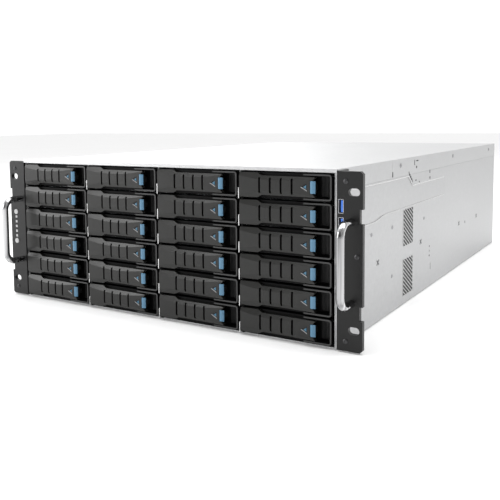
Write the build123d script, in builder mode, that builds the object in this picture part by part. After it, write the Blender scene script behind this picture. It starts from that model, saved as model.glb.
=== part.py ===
"""Rack-mount storage server, four rack units high, with twenty-four drive bays at the front.

+X is to the right seen from the front, +Y runs from the front to the rear and +Z is up.
The origin is the bottom centre of the whole object, front and rear handles included.
Lengths are in millimetres. A depth, such as cage_front, is counted from the front face
of the ears towards the rear. A bay's own sizes are counted from the middle of the bay.
"""

import os

from build123d import *

os.makedirs("parts", exist_ok=True)

# Bays, which set the width and height of the whole
columns = 4
rows = 6
bay_clearance = 4.7
row_clearance = 2.3
divider = 0.8
first_row_bottom = 1.6

# Drives
drive_width = 101.4
drive_height = 26.1
drive_length = 147.0
drive_start = 12.4

# Chassis and covers
sheet = 1.0
cage_side_gap = 1.4
cage_headroom = 4.0
body_front = 3.0
front_fold = 2.2
cover_flange = 21.0
cover_gap = 0.15
split_setback = 10.0
split_gap = 0.4
front_lip = 3.2
front_lip_sheet = 1.0
rear_lip = 13.0

# Pressed band for the slide rails in the side walls
band_press = 0.7
band_margin = 2.0
band_height = 41.2
band_step = 4.8
band_step_start = 103.0
band_step_end = 135.0
band_drop = 12.2
band_drop_start = 219.0
band_drop_end = 236.0
band_end = 379.0

# Slanted vent slits in the side walls
vent_depth = 218.0
vent_length = 36.0
vent_height = 44.0
vent_low_middle = 32.0
vent_band_gap = 19.8
vent_slope = 31.0
vent_pitch = 7.4
vent_slit = 3.4
vent_slits = 8

# Ears
ear_width = 26.1
ear_bottom = 0.5
ear_top_gap = 1.5
ear_thickness = 5.0
ear_corner = 2.5
ear_gap = 0.2
ear_flange_depth = 22.0
ear_flange_sheet = 1.0
rack_slot_inset = 8.75
rack_spacing_z = 133.35
rack_slot_length = 11.5
rack_slot_width = 7.5
notch_depth = 3.0
notch_height = 14.0
notch_low_middle = 38.2
notch_top_gap = 42.9

# Front handles
handle_wire = 8.0
handle_reach = 31.0
handle_bend = 12.0
handle_low = 47.7
handle_top_gap = 48.3
left_handle_inset = 6.3
right_handle_inset = 14.8

# Buttons and indicator windows on the left ear
control_inset = 16.4
power_top_gap = 66.0
control_spacing = 37.9
push_button_size = 6.4
push_button_proud = 0.8
push_button_back = 2.2
push_button_gap = 0.3
push_button_travel = 1.0
light_size = 3.0
light_pitch = 6.2
light_count = 5
light_back = 2.0
light_proud = 0.2

# USB ports on the right ear
usb_inset = 4.0
usb_top_gap = 33.7
usb_pitch = 17.5
usb_width = 5.5
usb_height = 14.2
usb_shell = 0.5
usb_length = 18.0
usb_tongue = 1.9
usb_tongue_shift = 1.1
usb_recess = 0.3
usb_gap = 0.2

# Drive cage
cage_front = 3.0
cage_tail = 4.0
cage_bottom = 1.2
cage_top_sheet = 0.8
ledge_width = 2.3
ledge_sheet = 1.0
ledge_gap = 0.2
tab_height = 12.0
tab_notch = 12.0
tab_drop = 1.2

# Drive carriers
tray_side_gap = 0.75
tray_floor_gap = 0.3
rail_sheet = 1.1
rail_height = 19.0
rail_overhang = 6.6
strap_length = 20.0
strap_sheet = 0.7
bezel_row_gap = 1.3
bezel_front = 3.0
rail_start = 8.0
bezel_back = 12.2
rim_front = -0.5
rim_width = 29.8
rim_wall = 1.6
rim_corner = 2.0
pocket_width = 22.5
pocket_depth = 10.2

# Carrier levers
lever_front = -2.9
lever_back = 2.5
lever_inset = 16.8
lever_gap = 0.1
shoulder_inset = 19.3
shoulder_length = 7.0
shoulder_drop = 2.9
face_drop = 4.1
face_rise = 4.7
face_left_run = 28.8
face_right_run = 30.0
face_overrun = 10.0
face_reach = 24.0
face_slope = 68.0
face_cut = 3.2
lever_slot_width = 1.9
lever_slot_margin = 1.9
lever_slot_inset = 9.6
lever_slot_pitch = 12.2
lever_slots = 4
window_inset = 3.1
window_length = 6.8
window_half_height = 3.4
window_depth = 1.0
mouth_length = 5.1
mouth_margin = 3.5
mouth_flare = 2.6
hinge_inset = 2.5
pin_radius = 0.9
pin_gap = 0.1
pin_sides = 6
hinge_clip = 2.3
lug_width = 3.2
lug_reach = 1.9
lug_sheet = 0.95

# Release buttons in the levers
release_gap = 0.3
release_width = 5.4
release_front = -3.3
release_back = 2.3
release_chamfer = 1.2
latch_inset = 1.0
latch_thickness = 3.2
latch_half_height = 3.0
latch_back = 7.2

# Backplane
backplane_sheet = 1.6
backplane_gap = 0.3
backplane_inset = 0.8
connector_width = 42.0
connector_height = 7.0
connector_gap = 0.3
backplane_vent_margin = 17.2
backplane_vent_height = 9.0

# Fan wall
backplane_space = 74.0
fan_size = 120.0
fan_thickness = 38.0
fan_side_space = 11.1
fan_duct_radius = 57.0
fan_floor_gap = 2.0
fan_hub_radius = 21.0
fan_motor_length = 9.0
fan_strut = 4.0
fan_count = 3
rotor_length = 24.0
rotor_gap = 0.4
rotor_blades = 7
blade_sheet = 1.8
blade_root = 16.0
blade_tip = 51.0
blade_root_chord = 24.0
blade_tip_chord = 36.0
blade_angle = 52.0
fan_wall_gap = 0.3
fan_wall_headroom = 26.0
fan_wall_fold = 20.0
fan_seat_gap = 0.2

# Main board
cable_space = 83.0
board_length = 330.0
board_tail = 4.0
board_bay_gap = 17.7
board_side_gap = 27.0
board_sheet = 1.6
standoff = 6.0
standoff_radius = 2.9
standoff_margin = 14.5
socket_size = 62.0
socket_height = 5.0
processor_offsets = (-102.5, 53.5)
processor_inset = 84.0
memory_offsets = (-30.5, 123.5)
memory_slot_width = 6.4
memory_slot_height = 7.0
memory_slot_end = 4.3
memory_pitch = 9.6
memory_per_bank = 4
memory_lift = 1.0
memory_groove_gap = 0.2
module_length = 133.4
module_height = 31.0
module_sheet = 2.8
card_slot_length = 89.0
card_slot_height = 11.0
card_slot_width = 7.6
card_slot_tail = 21.0
port_block_width = 118.0
port_block_height = 34.0
port_block_length = 26.0
port_gap = 0.5
port_recess = 3.0
port_width = 22.0
port_height = 11.0
port_rows = 2
port_columns = 4
chipset_size = 40.0
chipset_height = 12.0
chipset_inset_x = 58.0
chipset_inset_y = 224.0

# Heat sinks
sink_size = 80.0
sink_base = 8.0
sink_height = 62.0
sink_fins = 9
sink_fin_sheet = 1.2

# Power supplies
supply_width = 73.5
supply_height = 39.5
supply_length = 185.0
supply_inset = 4.5
supply_gap = 0.3
bay_shelf = 1.0
grip_reach = 28.0
grip_bar = 5.0
grip_height = 30.0
grip_left = 36.0
inlet_width = 24.0
inlet_height = 17.0
inlet_depth = 16.0
inlet_left = 5.0
inlet_pin_width = 2.0
inlet_pin_height = 5.0
inlet_pin_length = 10.0
inlet_pins = ((-7.0, 1.5), (0.0, -2.0), (7.0, 1.5))
supply_fan_inset = 16.0
supply_fan_radius = 14.5
supply_fan_hub = 6.0
supply_fan_recess = 5.0

# Rear wall
slot_count = 7
slot_pitch = 20.32
slot_board_inset = 7.08
slot_opening = 14.5
slot_bottom = 14.0
slot_top = 112.0
bracket_width = 18.4
bracket_sheet = 0.9
bracket_overlap = 4.0
bracket_head = 8.0
bracket_tab = 11.0
rear_vent_width = 9.0
rear_vent_pitch = 21.0
rear_vent_bracket_gap = 8.0
rear_vent_top_gap = 18.0
rear_vent_count = 16

# Screws
screw_radius = 2.4
screw_height = 0.9
screw_sides = 6
left_screw_inset = 16.8
right_screw_inset = 9.0
ear_screw_margin = 9.6
side_screw_inset = 20.4
side_screw_top_gap = 81.2
bracket_screw_radius = 3.0
bracket_screw_height = 1.8

# Flats of round forms: the bars of the handles, and the buttons, ducts and hubs
bar_sides = 8
round_sides = 12

# Width and height, from the bays outwards
bay_pitch = drive_width + bay_clearance
row_pitch = drive_height + row_clearance
cage_half_width = (columns * bay_pitch + divider) / 2
wall_half = cage_half_width + cage_side_gap + sheet
chassis_width = 2 * wall_half
chassis_height = first_row_bottom + rows * row_pitch + cage_headroom
lip_half = wall_half - sheet - cover_gap
wall_top = chassis_height - sheet - cover_gap
flange_bottom = chassis_height - cover_flange
band_top = flange_bottom - band_margin
band_bottom = band_top - band_height
band_top_rear = band_top - band_drop
vent_middles = (vent_low_middle, band_bottom - vent_band_gap)

# Depth, from the drives backwards
rail_end = drive_start + drive_length + rail_overhang
cage_back = rail_end + cage_tail
cover_split = cage_back - split_setback
fan_wall_depth = cage_back + backplane_space
fan_front = fan_wall_depth + sheet
fan_back = fan_front + fan_thickness
board_front = fan_back + cable_space
board_back = board_front + board_length
chassis_depth = board_back + board_tail
front_y = -(chassis_depth + grip_reach - handle_reach) / 2

# Ears and what they carry
ear_inner = wall_half + ear_gap
ear_outer = ear_inner + ear_width
ear_top = chassis_height - ear_top_gap
rack_slot_x = ear_outer - rack_slot_inset
rack_slot_low = (chassis_height - rack_spacing_z) / 2
notch_middles = (notch_low_middle, ear_top - notch_top_gap)
handle_high = ear_top - handle_top_gap
handle_xs = (-ear_inner - left_handle_inset, ear_inner + right_handle_inset)
control_x = -ear_inner - control_inset
power_z = ear_top - power_top_gap
reset_z = power_z - control_spacing
usb_x = ear_inner + usb_inset
usb_middles = (ear_top - usb_top_gap, ear_top - usb_top_gap - usb_pitch)
left_ear_screws = [
    (-ear_inner - left_screw_inset, ear_top - ear_screw_margin),
    (-ear_inner - left_screw_inset, ear_bottom + ear_screw_margin),
]
right_ear_screws = [
    (ear_inner + right_screw_inset, ear_top - ear_screw_margin),
    (ear_inner + right_screw_inset, ear_bottom + ear_screw_margin),
    (ear_inner + side_screw_inset, ear_top - side_screw_top_gap),
]

# Carriers, from the middle of a bay
tray_half = (bay_pitch - divider) / 2 - tray_side_gap
tray_bottom = tray_floor_gap - row_pitch / 2
bezel_half = tray_half - rail_sheet
bezel_half_height = row_pitch / 2 - bezel_row_gap
strap_start = rail_end - strap_length
rim_start = bezel_half - rim_width
pocket_start = bezel_half - pocket_width
lever_left = -bezel_half
lever_end = bezel_half - lever_inset
lever_half_height = bezel_half_height - lever_gap
lever_waist = lever_half_height - shoulder_drop
shoulder_start = lever_left + shoulder_inset
shoulder_end = shoulder_start + shoulder_length
hinge_x = lever_left + hinge_inset
mouth_start = lever_end - mouth_length
mouth_half_height = lever_waist - mouth_margin
window_base = mouth_start - window_inset
window_tip = window_base - window_length
lever_slot_last = window_tip - lever_slot_inset
lever_slot_height = 2 * (lever_waist - lever_slot_margin)
release_start = mouth_start + release_gap
release_end = release_start + release_width
release_half_height = mouth_half_height - release_gap
latch_start = release_start + latch_inset

# Power supply bay and main board, from the left wall to the right one
supply_left = supply_inset - wall_half
supply_right = supply_left + supply_width
supply_front = chassis_depth - supply_length
supply_low_bottom = sheet + supply_gap
supply_low_top = supply_low_bottom + supply_height
supply_high_bottom = supply_low_top + bay_shelf + 2 * supply_gap
supply_high_top = supply_high_bottom + supply_height
bay_side = supply_right + supply_gap
board_left = bay_side + bay_shelf + board_bay_gap
board_right = wall_half - sheet - board_side_gap
board_top = sheet + standoff + board_sheet

# Expansion slots and vents of the rear wall
slot_xs = [board_right - slot_board_inset - index * slot_pitch for index in range(slot_count)]
bracket_bottom = slot_bottom - bracket_overlap
bracket_top = slot_top + bracket_head
rear_vent_low = bracket_top + rear_vent_bracket_gap
rear_vent_high = chassis_height - rear_vent_top_gap


def bay_x(column):
    """Middle of a column of bays."""
    return (column - (columns - 1) / 2) * bay_pitch


def bay_z(row):
    """Middle of a row of bays, row 0 at the top."""
    return first_row_bottom + row_pitch * (rows - row - 0.5)


def upright(depth):
    """Plane facing the front, at a depth behind the ears' front face."""
    return Plane.XZ.offset(-(front_y + depth))


def block(x_from, x_to, depth_from, depth_to, z_from, z_to, mode=Mode.ADD):
    """Rectangular block between two limits along each axis."""
    middle = ((x_from + x_to) / 2, front_y + (depth_from + depth_to) / 2, (z_from + z_to) / 2)
    with Locations(middle):
        Box(x_to - x_from, depth_to - depth_from, z_to - z_from, mode=mode)


# Chassis: floor, side walls joggled inwards behind the cover flanges, rear wall and supply bay
with BuildPart() as chassis:
    with BuildSketch(upright(body_front)):
        with BuildLine():
            Polyline(
                (0, 0),
                (wall_half, 0),
                (wall_half, flange_bottom - cover_gap),
                (lip_half, flange_bottom - cover_gap),
                (lip_half, wall_top),
                (lip_half - sheet, wall_top),
                (lip_half - sheet, flange_bottom - cover_gap - sheet),
                (wall_half - sheet, flange_bottom - cover_gap - sheet),
                (wall_half - sheet, sheet),
                (0, sheet),
                close=True,
            )
        make_face()
        mirror(about=Plane.YZ)
    extrude(amount=-(chassis_depth - body_front))
    # Rail band, pressed inwards
    for side in (-1, 1):
        outline = [
            (front_y + body_front, band_bottom),
            (front_y + band_step_start, band_bottom),
            (front_y + band_step_end, band_bottom + band_step),
            (front_y + band_end, band_bottom + band_step),
            (front_y + band_end, band_top_rear),
            (front_y + band_drop_end, band_top_rear),
            (front_y + band_drop_start, band_top),
            (front_y + body_front, band_top),
        ]
        with BuildSketch(Plane.YZ.offset(side * (wall_half - sheet))):
            with BuildLine():
                Polyline(*outline, close=True)
            make_face()
        extrude(amount=-side * band_press)
        with BuildSketch(Plane.YZ.offset(side * wall_half)):
            with BuildLine():
                Polyline(*outline, close=True)
            make_face()
        extrude(amount=-side * band_press, mode=Mode.SUBTRACT)
    # Vent slits through both side walls
    for middle_z in vent_middles:
        with BuildSketch(Plane.YZ.offset(-wall_half)):
            with Locations((front_y + vent_depth, middle_z)):
                with GridLocations(0, vent_pitch, 1, vent_slits):
                    Rectangle(2 * vent_length, vent_slit, rotation=-vent_slope)
                Rectangle(vent_length, vent_height, mode=Mode.INTERSECT)
        extrude(amount=chassis_width, mode=Mode.SUBTRACT)
    # Front edges of the side walls, folded inwards beside the cage
    for side in (-1, 1):
        fold_middle = side * (wall_half - front_fold / 2)
        block(fold_middle - front_fold / 2, fold_middle + front_fold / 2, body_front, body_front + sheet,
              sheet / 2, flange_bottom - cover_gap)
    # Rear wall with its openings
    block(-lip_half, lip_half, chassis_depth - sheet, chassis_depth, sheet / 2, wall_top)
    with BuildSketch(upright(chassis_depth)):
        with Locations(*[((supply_left + supply_right) / 2, bottom + supply_height / 2)
                         for bottom in (supply_low_bottom, supply_high_bottom)]):
            Rectangle(supply_width + 2 * supply_gap, supply_height + 2 * supply_gap)
        with Locations(*[(x, (slot_bottom + slot_top) / 2) for x in slot_xs]):
            Rectangle(slot_opening, slot_top - slot_bottom)
        with Locations((0, (rear_vent_low + rear_vent_high) / 2)):
            with GridLocations(rear_vent_pitch, 0, rear_vent_count, 1):
                Rectangle(rear_vent_width, rear_vent_high - rear_vent_low)
        with Locations((board_left + port_block_width / 2, board_top + port_block_height / 2)):
            Rectangle(port_block_width + 2 * port_gap, port_block_height + 2 * port_gap)
    extrude(amount=sheet, mode=Mode.SUBTRACT)
    # Bay for the power supplies: a side, a roof and a shelf between them
    block(bay_side, bay_side + bay_shelf, supply_front, chassis_depth - sheet / 2,
          sheet / 2, supply_high_top + supply_gap + bay_shelf)
    block(-wall_half + sheet / 2, bay_side + bay_shelf / 2, supply_front, chassis_depth - sheet / 2,
          supply_high_top + supply_gap, supply_high_top + supply_gap + bay_shelf)
    block(-wall_half + sheet / 2, bay_side + bay_shelf / 2, supply_front, chassis_depth - sheet / 2,
          supply_low_top + supply_gap, supply_high_bottom - supply_gap)
chassis.part.label = "chassis"
export_step(chassis.part, "parts/chassis.step")

# Front cover, fixed over the drive cage, with a folded front lip
with BuildPart() as front_cover:
    with BuildSketch(upright(body_front)):
        with Locations((0, chassis_height - cover_flange / 2)):
            Rectangle(chassis_width, cover_flange)
        with Locations((0, chassis_height - sheet - cover_flange / 2)):
            Rectangle(chassis_width - 2 * sheet, cover_flange, mode=Mode.SUBTRACT)
    extrude(amount=-(cover_split - split_gap - body_front))
    block(-wall_half, wall_half, 0, body_front, chassis_height - sheet, chassis_height)
    block(-wall_half, wall_half, 0, front_lip_sheet, chassis_height - front_lip, chassis_height)
front_cover.part.label = "front_cover"
export_step(front_cover.part, "parts/front_cover.step")

# Rear cover, which slides back over the chassis, with a lip down the rear wall
with BuildPart() as rear_cover:
    with BuildSketch(upright(cover_split)):
        with Locations((0, chassis_height - cover_flange / 2)):
            Rectangle(chassis_width, cover_flange)
        with Locations((0, chassis_height - sheet - cover_flange / 2)):
            Rectangle(chassis_width - 2 * sheet, cover_flange, mode=Mode.SUBTRACT)
    extrude(amount=-(chassis_depth + cover_gap - cover_split))
    block(-wall_half, wall_half, chassis_depth + cover_gap, chassis_depth + cover_gap + sheet,
          chassis_height - rear_lip, chassis_height)
rear_cover.part.label = "rear_cover"
export_step(rear_cover.part, "parts/rear_cover.step")


# Ears: a plate with rack slots and notches, and a flange along the chassis wall
def ear_face(outline, side):
    """Front view of an ear, drawn in the open sketch."""
    with Locations((side * (ear_inner + ear_outer) / 2, (ear_bottom + ear_top) / 2)):
        Rectangle(ear_width, ear_top - ear_bottom)
    chamfer(outline.vertices().sort_by(lambda corner: side * corner.X)[-2:], ear_corner)
    with Locations(*[(side * (ear_outer - notch_depth / 2), middle_z) for middle_z in notch_middles]):
        Rectangle(notch_depth, notch_height, mode=Mode.SUBTRACT)
    with Locations((side * rack_slot_x, rack_slot_low), (side * rack_slot_x, rack_slot_low + rack_spacing_z)):
        SlotOverall(rack_slot_length, rack_slot_width, mode=Mode.SUBTRACT)


with BuildPart() as left_ear:
    with BuildSketch(upright(0)) as left_outline:
        ear_face(left_outline, -1)
    extrude(amount=-ear_thickness)
    block(-ear_inner - ear_flange_sheet, -ear_inner, ear_thickness, ear_thickness + ear_flange_depth,
          ear_bottom, ear_top)
    # Pockets of the two buttons and the row of indicator windows between them
    with BuildSketch(upright(0)):
        with Locations((control_x, power_z), (control_x, reset_z)):
            RegularPolygon(push_button_size / 2 + push_button_gap, round_sides)
    extrude(amount=-(push_button_back + push_button_travel + push_button_gap), mode=Mode.SUBTRACT)
    with BuildSketch(upright(0)):
        with Locations((control_x, (power_z + reset_z) / 2)):
            with GridLocations(0, light_pitch, 1, light_count):
                Rectangle(light_size, light_size)
    extrude(amount=-light_back, mode=Mode.SUBTRACT)
left_ear.part.label = "left_ear"
export_step(left_ear.part, "parts/left_ear.step")

with BuildPart() as right_ear:
    with BuildSketch(upright(0)) as right_outline:
        ear_face(right_outline, 1)
        with Locations(*[(usb_x, middle_z) for middle_z in usb_middles]):
            Rectangle(usb_width + 2 * usb_gap, usb_height + 2 * usb_gap, mode=Mode.SUBTRACT)
    extrude(amount=-ear_thickness)
    block(ear_inner, ear_inner + ear_flange_sheet, ear_thickness, ear_thickness + ear_flange_depth,
          ear_bottom, ear_top)
right_ear.part.label = "right_ear"
export_step(right_ear.part, "parts/right_ear.step")

# Front handles, bent from bar
for handle_name, handle_x in zip(("left_handle", "right_handle"), handle_xs):
    bar_y = front_y - handle_reach + handle_wire / 2
    with BuildPart() as handle:
        with BuildLine(Plane.YZ.offset(handle_x)):
            FilletPolyline(
                (front_y, handle_low),
                (bar_y, handle_low),
                (bar_y, handle_high),
                (front_y, handle_high),
                radius=handle_bend,
            )
        with BuildSketch(Plane((handle_x, front_y, handle_low), x_dir=(1, 0, 0), z_dir=(0, -1, 0))):
            RegularPolygon(handle_wire / 2, bar_sides)
        sweep()
    handle.part.label = handle_name
    export_step(handle.part, f"parts/{handle_name}.step")

# Power and reset buttons
for button_name, button_z in (("power_button", power_z), ("reset_button", reset_z)):
    with BuildPart() as push_button:
        with BuildSketch(upright(-push_button_proud)):
            with Locations((control_x, button_z)):
                RegularPolygon(push_button_size / 2, round_sides)
        extrude(amount=-(push_button_proud + push_button_back))
    push_button.part.label = button_name
    export_step(push_button.part, f"parts/{button_name}.step")

# Indicator windows
with BuildPart() as indicator_windows:
    with BuildSketch(upright(-light_proud)):
        with Locations((control_x, (power_z + reset_z) / 2)):
            with GridLocations(0, light_pitch, 1, light_count):
                Rectangle(light_size, light_size)
    extrude(amount=-(light_proud + light_back))
indicator_windows.part.label = "indicator_windows"
export_step(indicator_windows.part, "parts/indicator_windows.step")

# USB ports: a shell, a tongue and a back in one
with BuildPart() as usb_ports:
    with BuildSketch(upright(usb_recess)):
        with Locations(*[(usb_x, middle_z) for middle_z in usb_middles]):
            Rectangle(usb_width, usb_height)
            Rectangle(usb_width - 2 * usb_shell, usb_height - 2 * usb_shell, mode=Mode.SUBTRACT)
            with Locations((usb_tongue_shift, 0)):
                Rectangle(usb_tongue, usb_height - 4 * usb_shell)
    extrude(amount=-usb_length)
    for middle_z in usb_middles:
        block(usb_x - usb_width / 2, usb_x + usb_width / 2,
              usb_recess + usb_length, usb_recess + usb_length + usb_shell,
              middle_z - usb_height / 2, middle_z + usb_height / 2)
usb_ports.part.label = "usb_ports"
export_step(usb_ports.part, "parts/usb_ports.step")

# Drive cage: dividers, the inner ones with front tabs between the rows, guide ledges and a top plate
cage_top = first_row_bottom + rows * row_pitch + ledge_gap
divider_faces = [-cage_half_width + bay_pitch * index for index in range(columns + 1)]
notch_rise = row_pitch - tab_height
notch_lift = (row_pitch - notch_rise) / 2 - tab_drop

with BuildPart() as drive_cage:
    with BuildSketch(*[Plane.YZ.offset(x) for x in divider_faces]):
        with Locations((front_y + (cage_front + cage_back) / 2, (cage_bottom + cage_top) / 2)):
            Rectangle(cage_back - cage_front, cage_top - cage_bottom)
    extrude(amount=divider)
    with BuildSketch(*[Plane.YZ.offset(x) for x in divider_faces[1:-1]]):
        with Locations(*[(front_y + cage_front + tab_notch / 2, bay_z(row) + notch_lift)
                         for row in range(rows)]):
            Rectangle(tab_notch, notch_rise)
    extrude(amount=divider, mode=Mode.SUBTRACT)
    for face_x in divider_faces:
        for row in range(rows):
            ledge_top = bay_z(row) + tray_bottom - ledge_gap
            block(max(face_x - ledge_width, -cage_half_width),
                  min(face_x + divider + ledge_width, cage_half_width),
                  cage_front + tab_notch, cage_back,
                  max(ledge_top - ledge_sheet, cage_bottom), ledge_top)
    block(-cage_half_width, cage_half_width, cage_front, cage_back, cage_top, cage_top + cage_top_sheet)
drive_cage.part.label = "drive_cage"
export_step(drive_cage.part, "parts/drive_cage.step")

# Drive, as bought
with BuildPart() as drive:
    block(-drive_width / 2, drive_width / 2, drive_start, drive_start + drive_length,
          -drive_height / 2, drive_height / 2)

# Carrier tray: moulded bezel with a finger pocket and its rim, rails, strap and hinge lugs
with BuildPart() as tray:
    block(-bezel_half, bezel_half, bezel_front, bezel_back, -bezel_half_height, bezel_half_height)
    with BuildSketch(upright(rim_front)) as rim:
        with Locations(((rim_start + bezel_half) / 2, 0)):
            Rectangle(bezel_half - rim_start, 2 * bezel_half_height)
        chamfer(rim.vertices().sort_by(Axis.X)[-2:], rim_corner)
        with Locations((rim_start, 0)):
            Rectangle(2 * (bezel_half - rim_wall - rim_start), 2 * (bezel_half_height - rim_wall),
                      mode=Mode.SUBTRACT)
    extrude(amount=-(bezel_front - rim_front))
    block(pocket_start, bezel_half - rim_wall, rim_front, pocket_depth,
          -bezel_half_height + rim_wall, bezel_half_height - rim_wall, mode=Mode.SUBTRACT)
    for side in (-1, 1):
        rail_middle = side * (tray_half - rail_sheet / 2)
        block(rail_middle - rail_sheet / 2, rail_middle + rail_sheet / 2,
              rail_start, rail_end, tray_bottom, tray_bottom + rail_height)
        lug_middle = side * (bezel_half_height + lug_sheet / 2)
        block(hinge_x - lug_width / 2, hinge_x + lug_width / 2, -lug_reach, rail_start,
              lug_middle - lug_sheet / 2, lug_middle + lug_sheet / 2)
    block(-tray_half, tray_half, strap_start, rail_end, tray_bottom, tray_bottom + strap_sheet)

# Carrier lever: waisted plate with sloping upper and lower faces, slots, a window and a mouth
face_line = lever_waist - face_drop

with BuildPart() as lever:
    with BuildSketch(upright(lever_front)):
        with BuildLine():
            Polyline(
                (lever_left, 0),
                (lever_left, lever_half_height),
                (shoulder_start, lever_half_height),
                (shoulder_end, lever_waist),
                (lever_end, lever_waist),
                (lever_end, mouth_half_height + mouth_flare),
                (lever_end - mouth_flare, mouth_half_height),
                (mouth_start, mouth_half_height),
                (mouth_start, 0),
                close=True,
            )
        make_face()
        mirror(about=Plane.XZ)
        with Locations((lever_slot_last - (lever_slots - 1) * lever_slot_pitch / 2, 0)):
            with GridLocations(lever_slot_pitch, 0, lever_slots, 1):
                Rectangle(lever_slot_width, lever_slot_height, mode=Mode.SUBTRACT)
    extrude(amount=-(lever_back - lever_front))
    # The upper and lower faces fall back from a line that is bowed in three straight runs
    for side in (-1, 1):
        with BuildSketch(upright(lever_front)):
            with BuildLine():
                Polyline(
                    (lever_left - face_overrun, side * (face_line + face_rise)),
                    (lever_left + face_left_run, side * face_line),
                    (lever_end - face_right_run, side * face_line),
                    (lever_end + face_overrun, side * (face_line + face_rise)),
                    (lever_end + face_overrun, side * (face_line + face_reach)),
                    (lever_left - face_overrun, side * (face_line + face_reach)),
                    close=True,
                )
            make_face()
        extrude(amount=-face_cut, taper=face_slope, mode=Mode.SUBTRACT)
    with BuildSketch(upright(lever_front)):
        Polygon((window_tip, 0), (window_base, window_half_height), (window_base, -window_half_height),
                align=None)
    extrude(amount=-window_depth, mode=Mode.SUBTRACT)
    hinge_edge = lever.edges().filter_by(Axis.Z).group_by(Axis.X)[0].sort_by(Axis.Y)[-1]
    chamfer(hinge_edge, hinge_clip)

# Hinge pin from lug to lug, and the bore for it in the lever
with BuildPart() as hinge_pin:
    with BuildSketch(Plane.XY.offset(-bezel_half_height)):
        with Locations((hinge_x, front_y)):
            RegularPolygon(pin_radius, pin_sides)
    extrude(amount=2 * bezel_half_height)

with BuildPart() as hinge_bore:
    with BuildSketch(Plane.XY.offset(-bezel_half_height)):
        with Locations((hinge_x, front_y)):
            RegularPolygon(pin_radius + pin_gap, pin_sides, major_radius=False)
    extrude(amount=2 * bezel_half_height)

# Release button: chamfered front, and a latch that reaches back into the finger pocket
with BuildPart() as release_button:
    block(release_start, release_end, release_front, release_back,
          -release_half_height, release_half_height)
    front_edges = release_button.edges().filter_by(Axis.Z).group_by(Axis.Y)[0]
    chamfer(front_edges, release_chamfer)
    block(latch_start, latch_start + latch_thickness, release_back, latch_back,
          -latch_half_height, latch_half_height)

# The carriers. In the last column the lever and the button are separate moving pieces.
for column in range(columns):
    for row in range(rows):
        place = Location((bay_x(column), 0, bay_z(row)))
        with BuildPart() as carrier:
            add(tray.part.moved(place))
            add(drive.part.moved(place))
            if column < columns - 1:
                add(lever.part.moved(place))
                add(release_button.part.moved(place))
            else:
                add(hinge_pin.part.moved(place))
        carrier.part.label = f"carrier_r{row + 1}_c{column + 1}"
        export_step(carrier.part, f"parts/carrier_r{row + 1}_c{column + 1}.step")

for row in range(rows):
    place = Location((bay_x(columns - 1), 0, bay_z(row)))
    with BuildPart() as carrier_lever:
        add(lever.part.moved(place))
        add(hinge_bore.part.moved(place), mode=Mode.SUBTRACT)
    carrier_lever.part.label = f"lever_r{row + 1}"
    export_step(carrier_lever.part, f"parts/lever_r{row + 1}.step")
    with BuildPart() as lever_button:
        add(release_button.part.moved(place))
    lever_button.part.label = f"release_button_r{row + 1}"
    export_step(lever_button.part, f"parts/release_button_r{row + 1}.step")

# Backplane: a board behind the cage with a connector for each bay and a vent between two rows
backplane_front = cage_back + backplane_gap
bay_places = [(bay_x(column), bay_z(row)) for column in range(columns) for row in range(rows)]

with BuildPart() as backplane:
    with BuildSketch(upright(backplane_front)):
        with Locations((0, (cage_bottom + cage_top) / 2)):
            Rectangle(2 * (cage_half_width - backplane_inset), cage_top - cage_bottom)
        with Locations((0, first_row_bottom + rows * row_pitch / 2)):
            with GridLocations(0, row_pitch, 1, rows - 1):
                Rectangle(columns * bay_pitch - 2 * backplane_vent_margin, backplane_vent_height,
                          mode=Mode.SUBTRACT)
    extrude(amount=-backplane_sheet)
    with BuildSketch(upright(backplane_front)):
        with Locations(*bay_places):
            Rectangle(connector_width, connector_height)
    extrude(amount=backplane_front - drive_start - drive_length - connector_gap)
backplane.part.label = "backplane"
export_step(backplane.part, "parts/backplane.step")

# Fan wall: a folded sheet with three openings, and three fan frames with motor stators
fan_wall_half = lip_half - sheet - fan_wall_gap
fan_wall_height = chassis_height - fan_wall_headroom
fan_pitch = (2 * fan_wall_half - fan_side_space) / fan_count
fan_places = [(index - (fan_count - 1) / 2) * fan_pitch for index in range(fan_count)]
fan_bottom = sheet + fan_floor_gap
fan_z = fan_bottom + fan_size / 2
fan_centres = [(fan_x, fan_z) for fan_x in fan_places]

with BuildPart() as fan_wall:
    with BuildSketch(Plane.YZ.offset(-fan_wall_half)):
        with BuildLine():
            Polyline(
                (front_y + fan_wall_depth, sheet),
                (front_y + fan_wall_depth, fan_wall_height),
                (front_y + fan_wall_depth + fan_wall_fold, fan_wall_height),
                (front_y + fan_wall_depth + fan_wall_fold, fan_wall_height - sheet),
                (front_y + fan_front, fan_wall_height - sheet),
                (front_y + fan_front, fan_bottom - fan_seat_gap),
                (front_y + fan_back, fan_bottom - fan_seat_gap),
                (front_y + fan_back, sheet),
                close=True,
            )
        make_face()
    extrude(amount=2 * fan_wall_half)
    with BuildSketch(upright(fan_wall_depth)):
        with Locations(*fan_centres):
            RegularPolygon(fan_duct_radius, round_sides, major_radius=False)
    extrude(amount=-sheet, mode=Mode.SUBTRACT)
    with BuildSketch(upright(fan_front + fan_seat_gap)):
        with Locations(*fan_centres):
            Rectangle(fan_size, fan_size)
            RegularPolygon(fan_duct_radius, round_sides, major_radius=False, mode=Mode.SUBTRACT)
    extrude(amount=-(fan_thickness - fan_seat_gap))
    with BuildSketch(upright(fan_back)):
        with Locations(*fan_centres):
            Rectangle(fan_size, fan_strut)
            Rectangle(fan_strut, fan_size)
    extrude(amount=fan_strut)
    with BuildSketch(upright(fan_back)):
        with Locations(*fan_centres):
            RegularPolygon(fan_hub_radius, round_sides)
    extrude(amount=fan_motor_length)
fan_wall.part.label = "fan_wall"
export_step(fan_wall.part, "parts/fan_wall.step")

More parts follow.
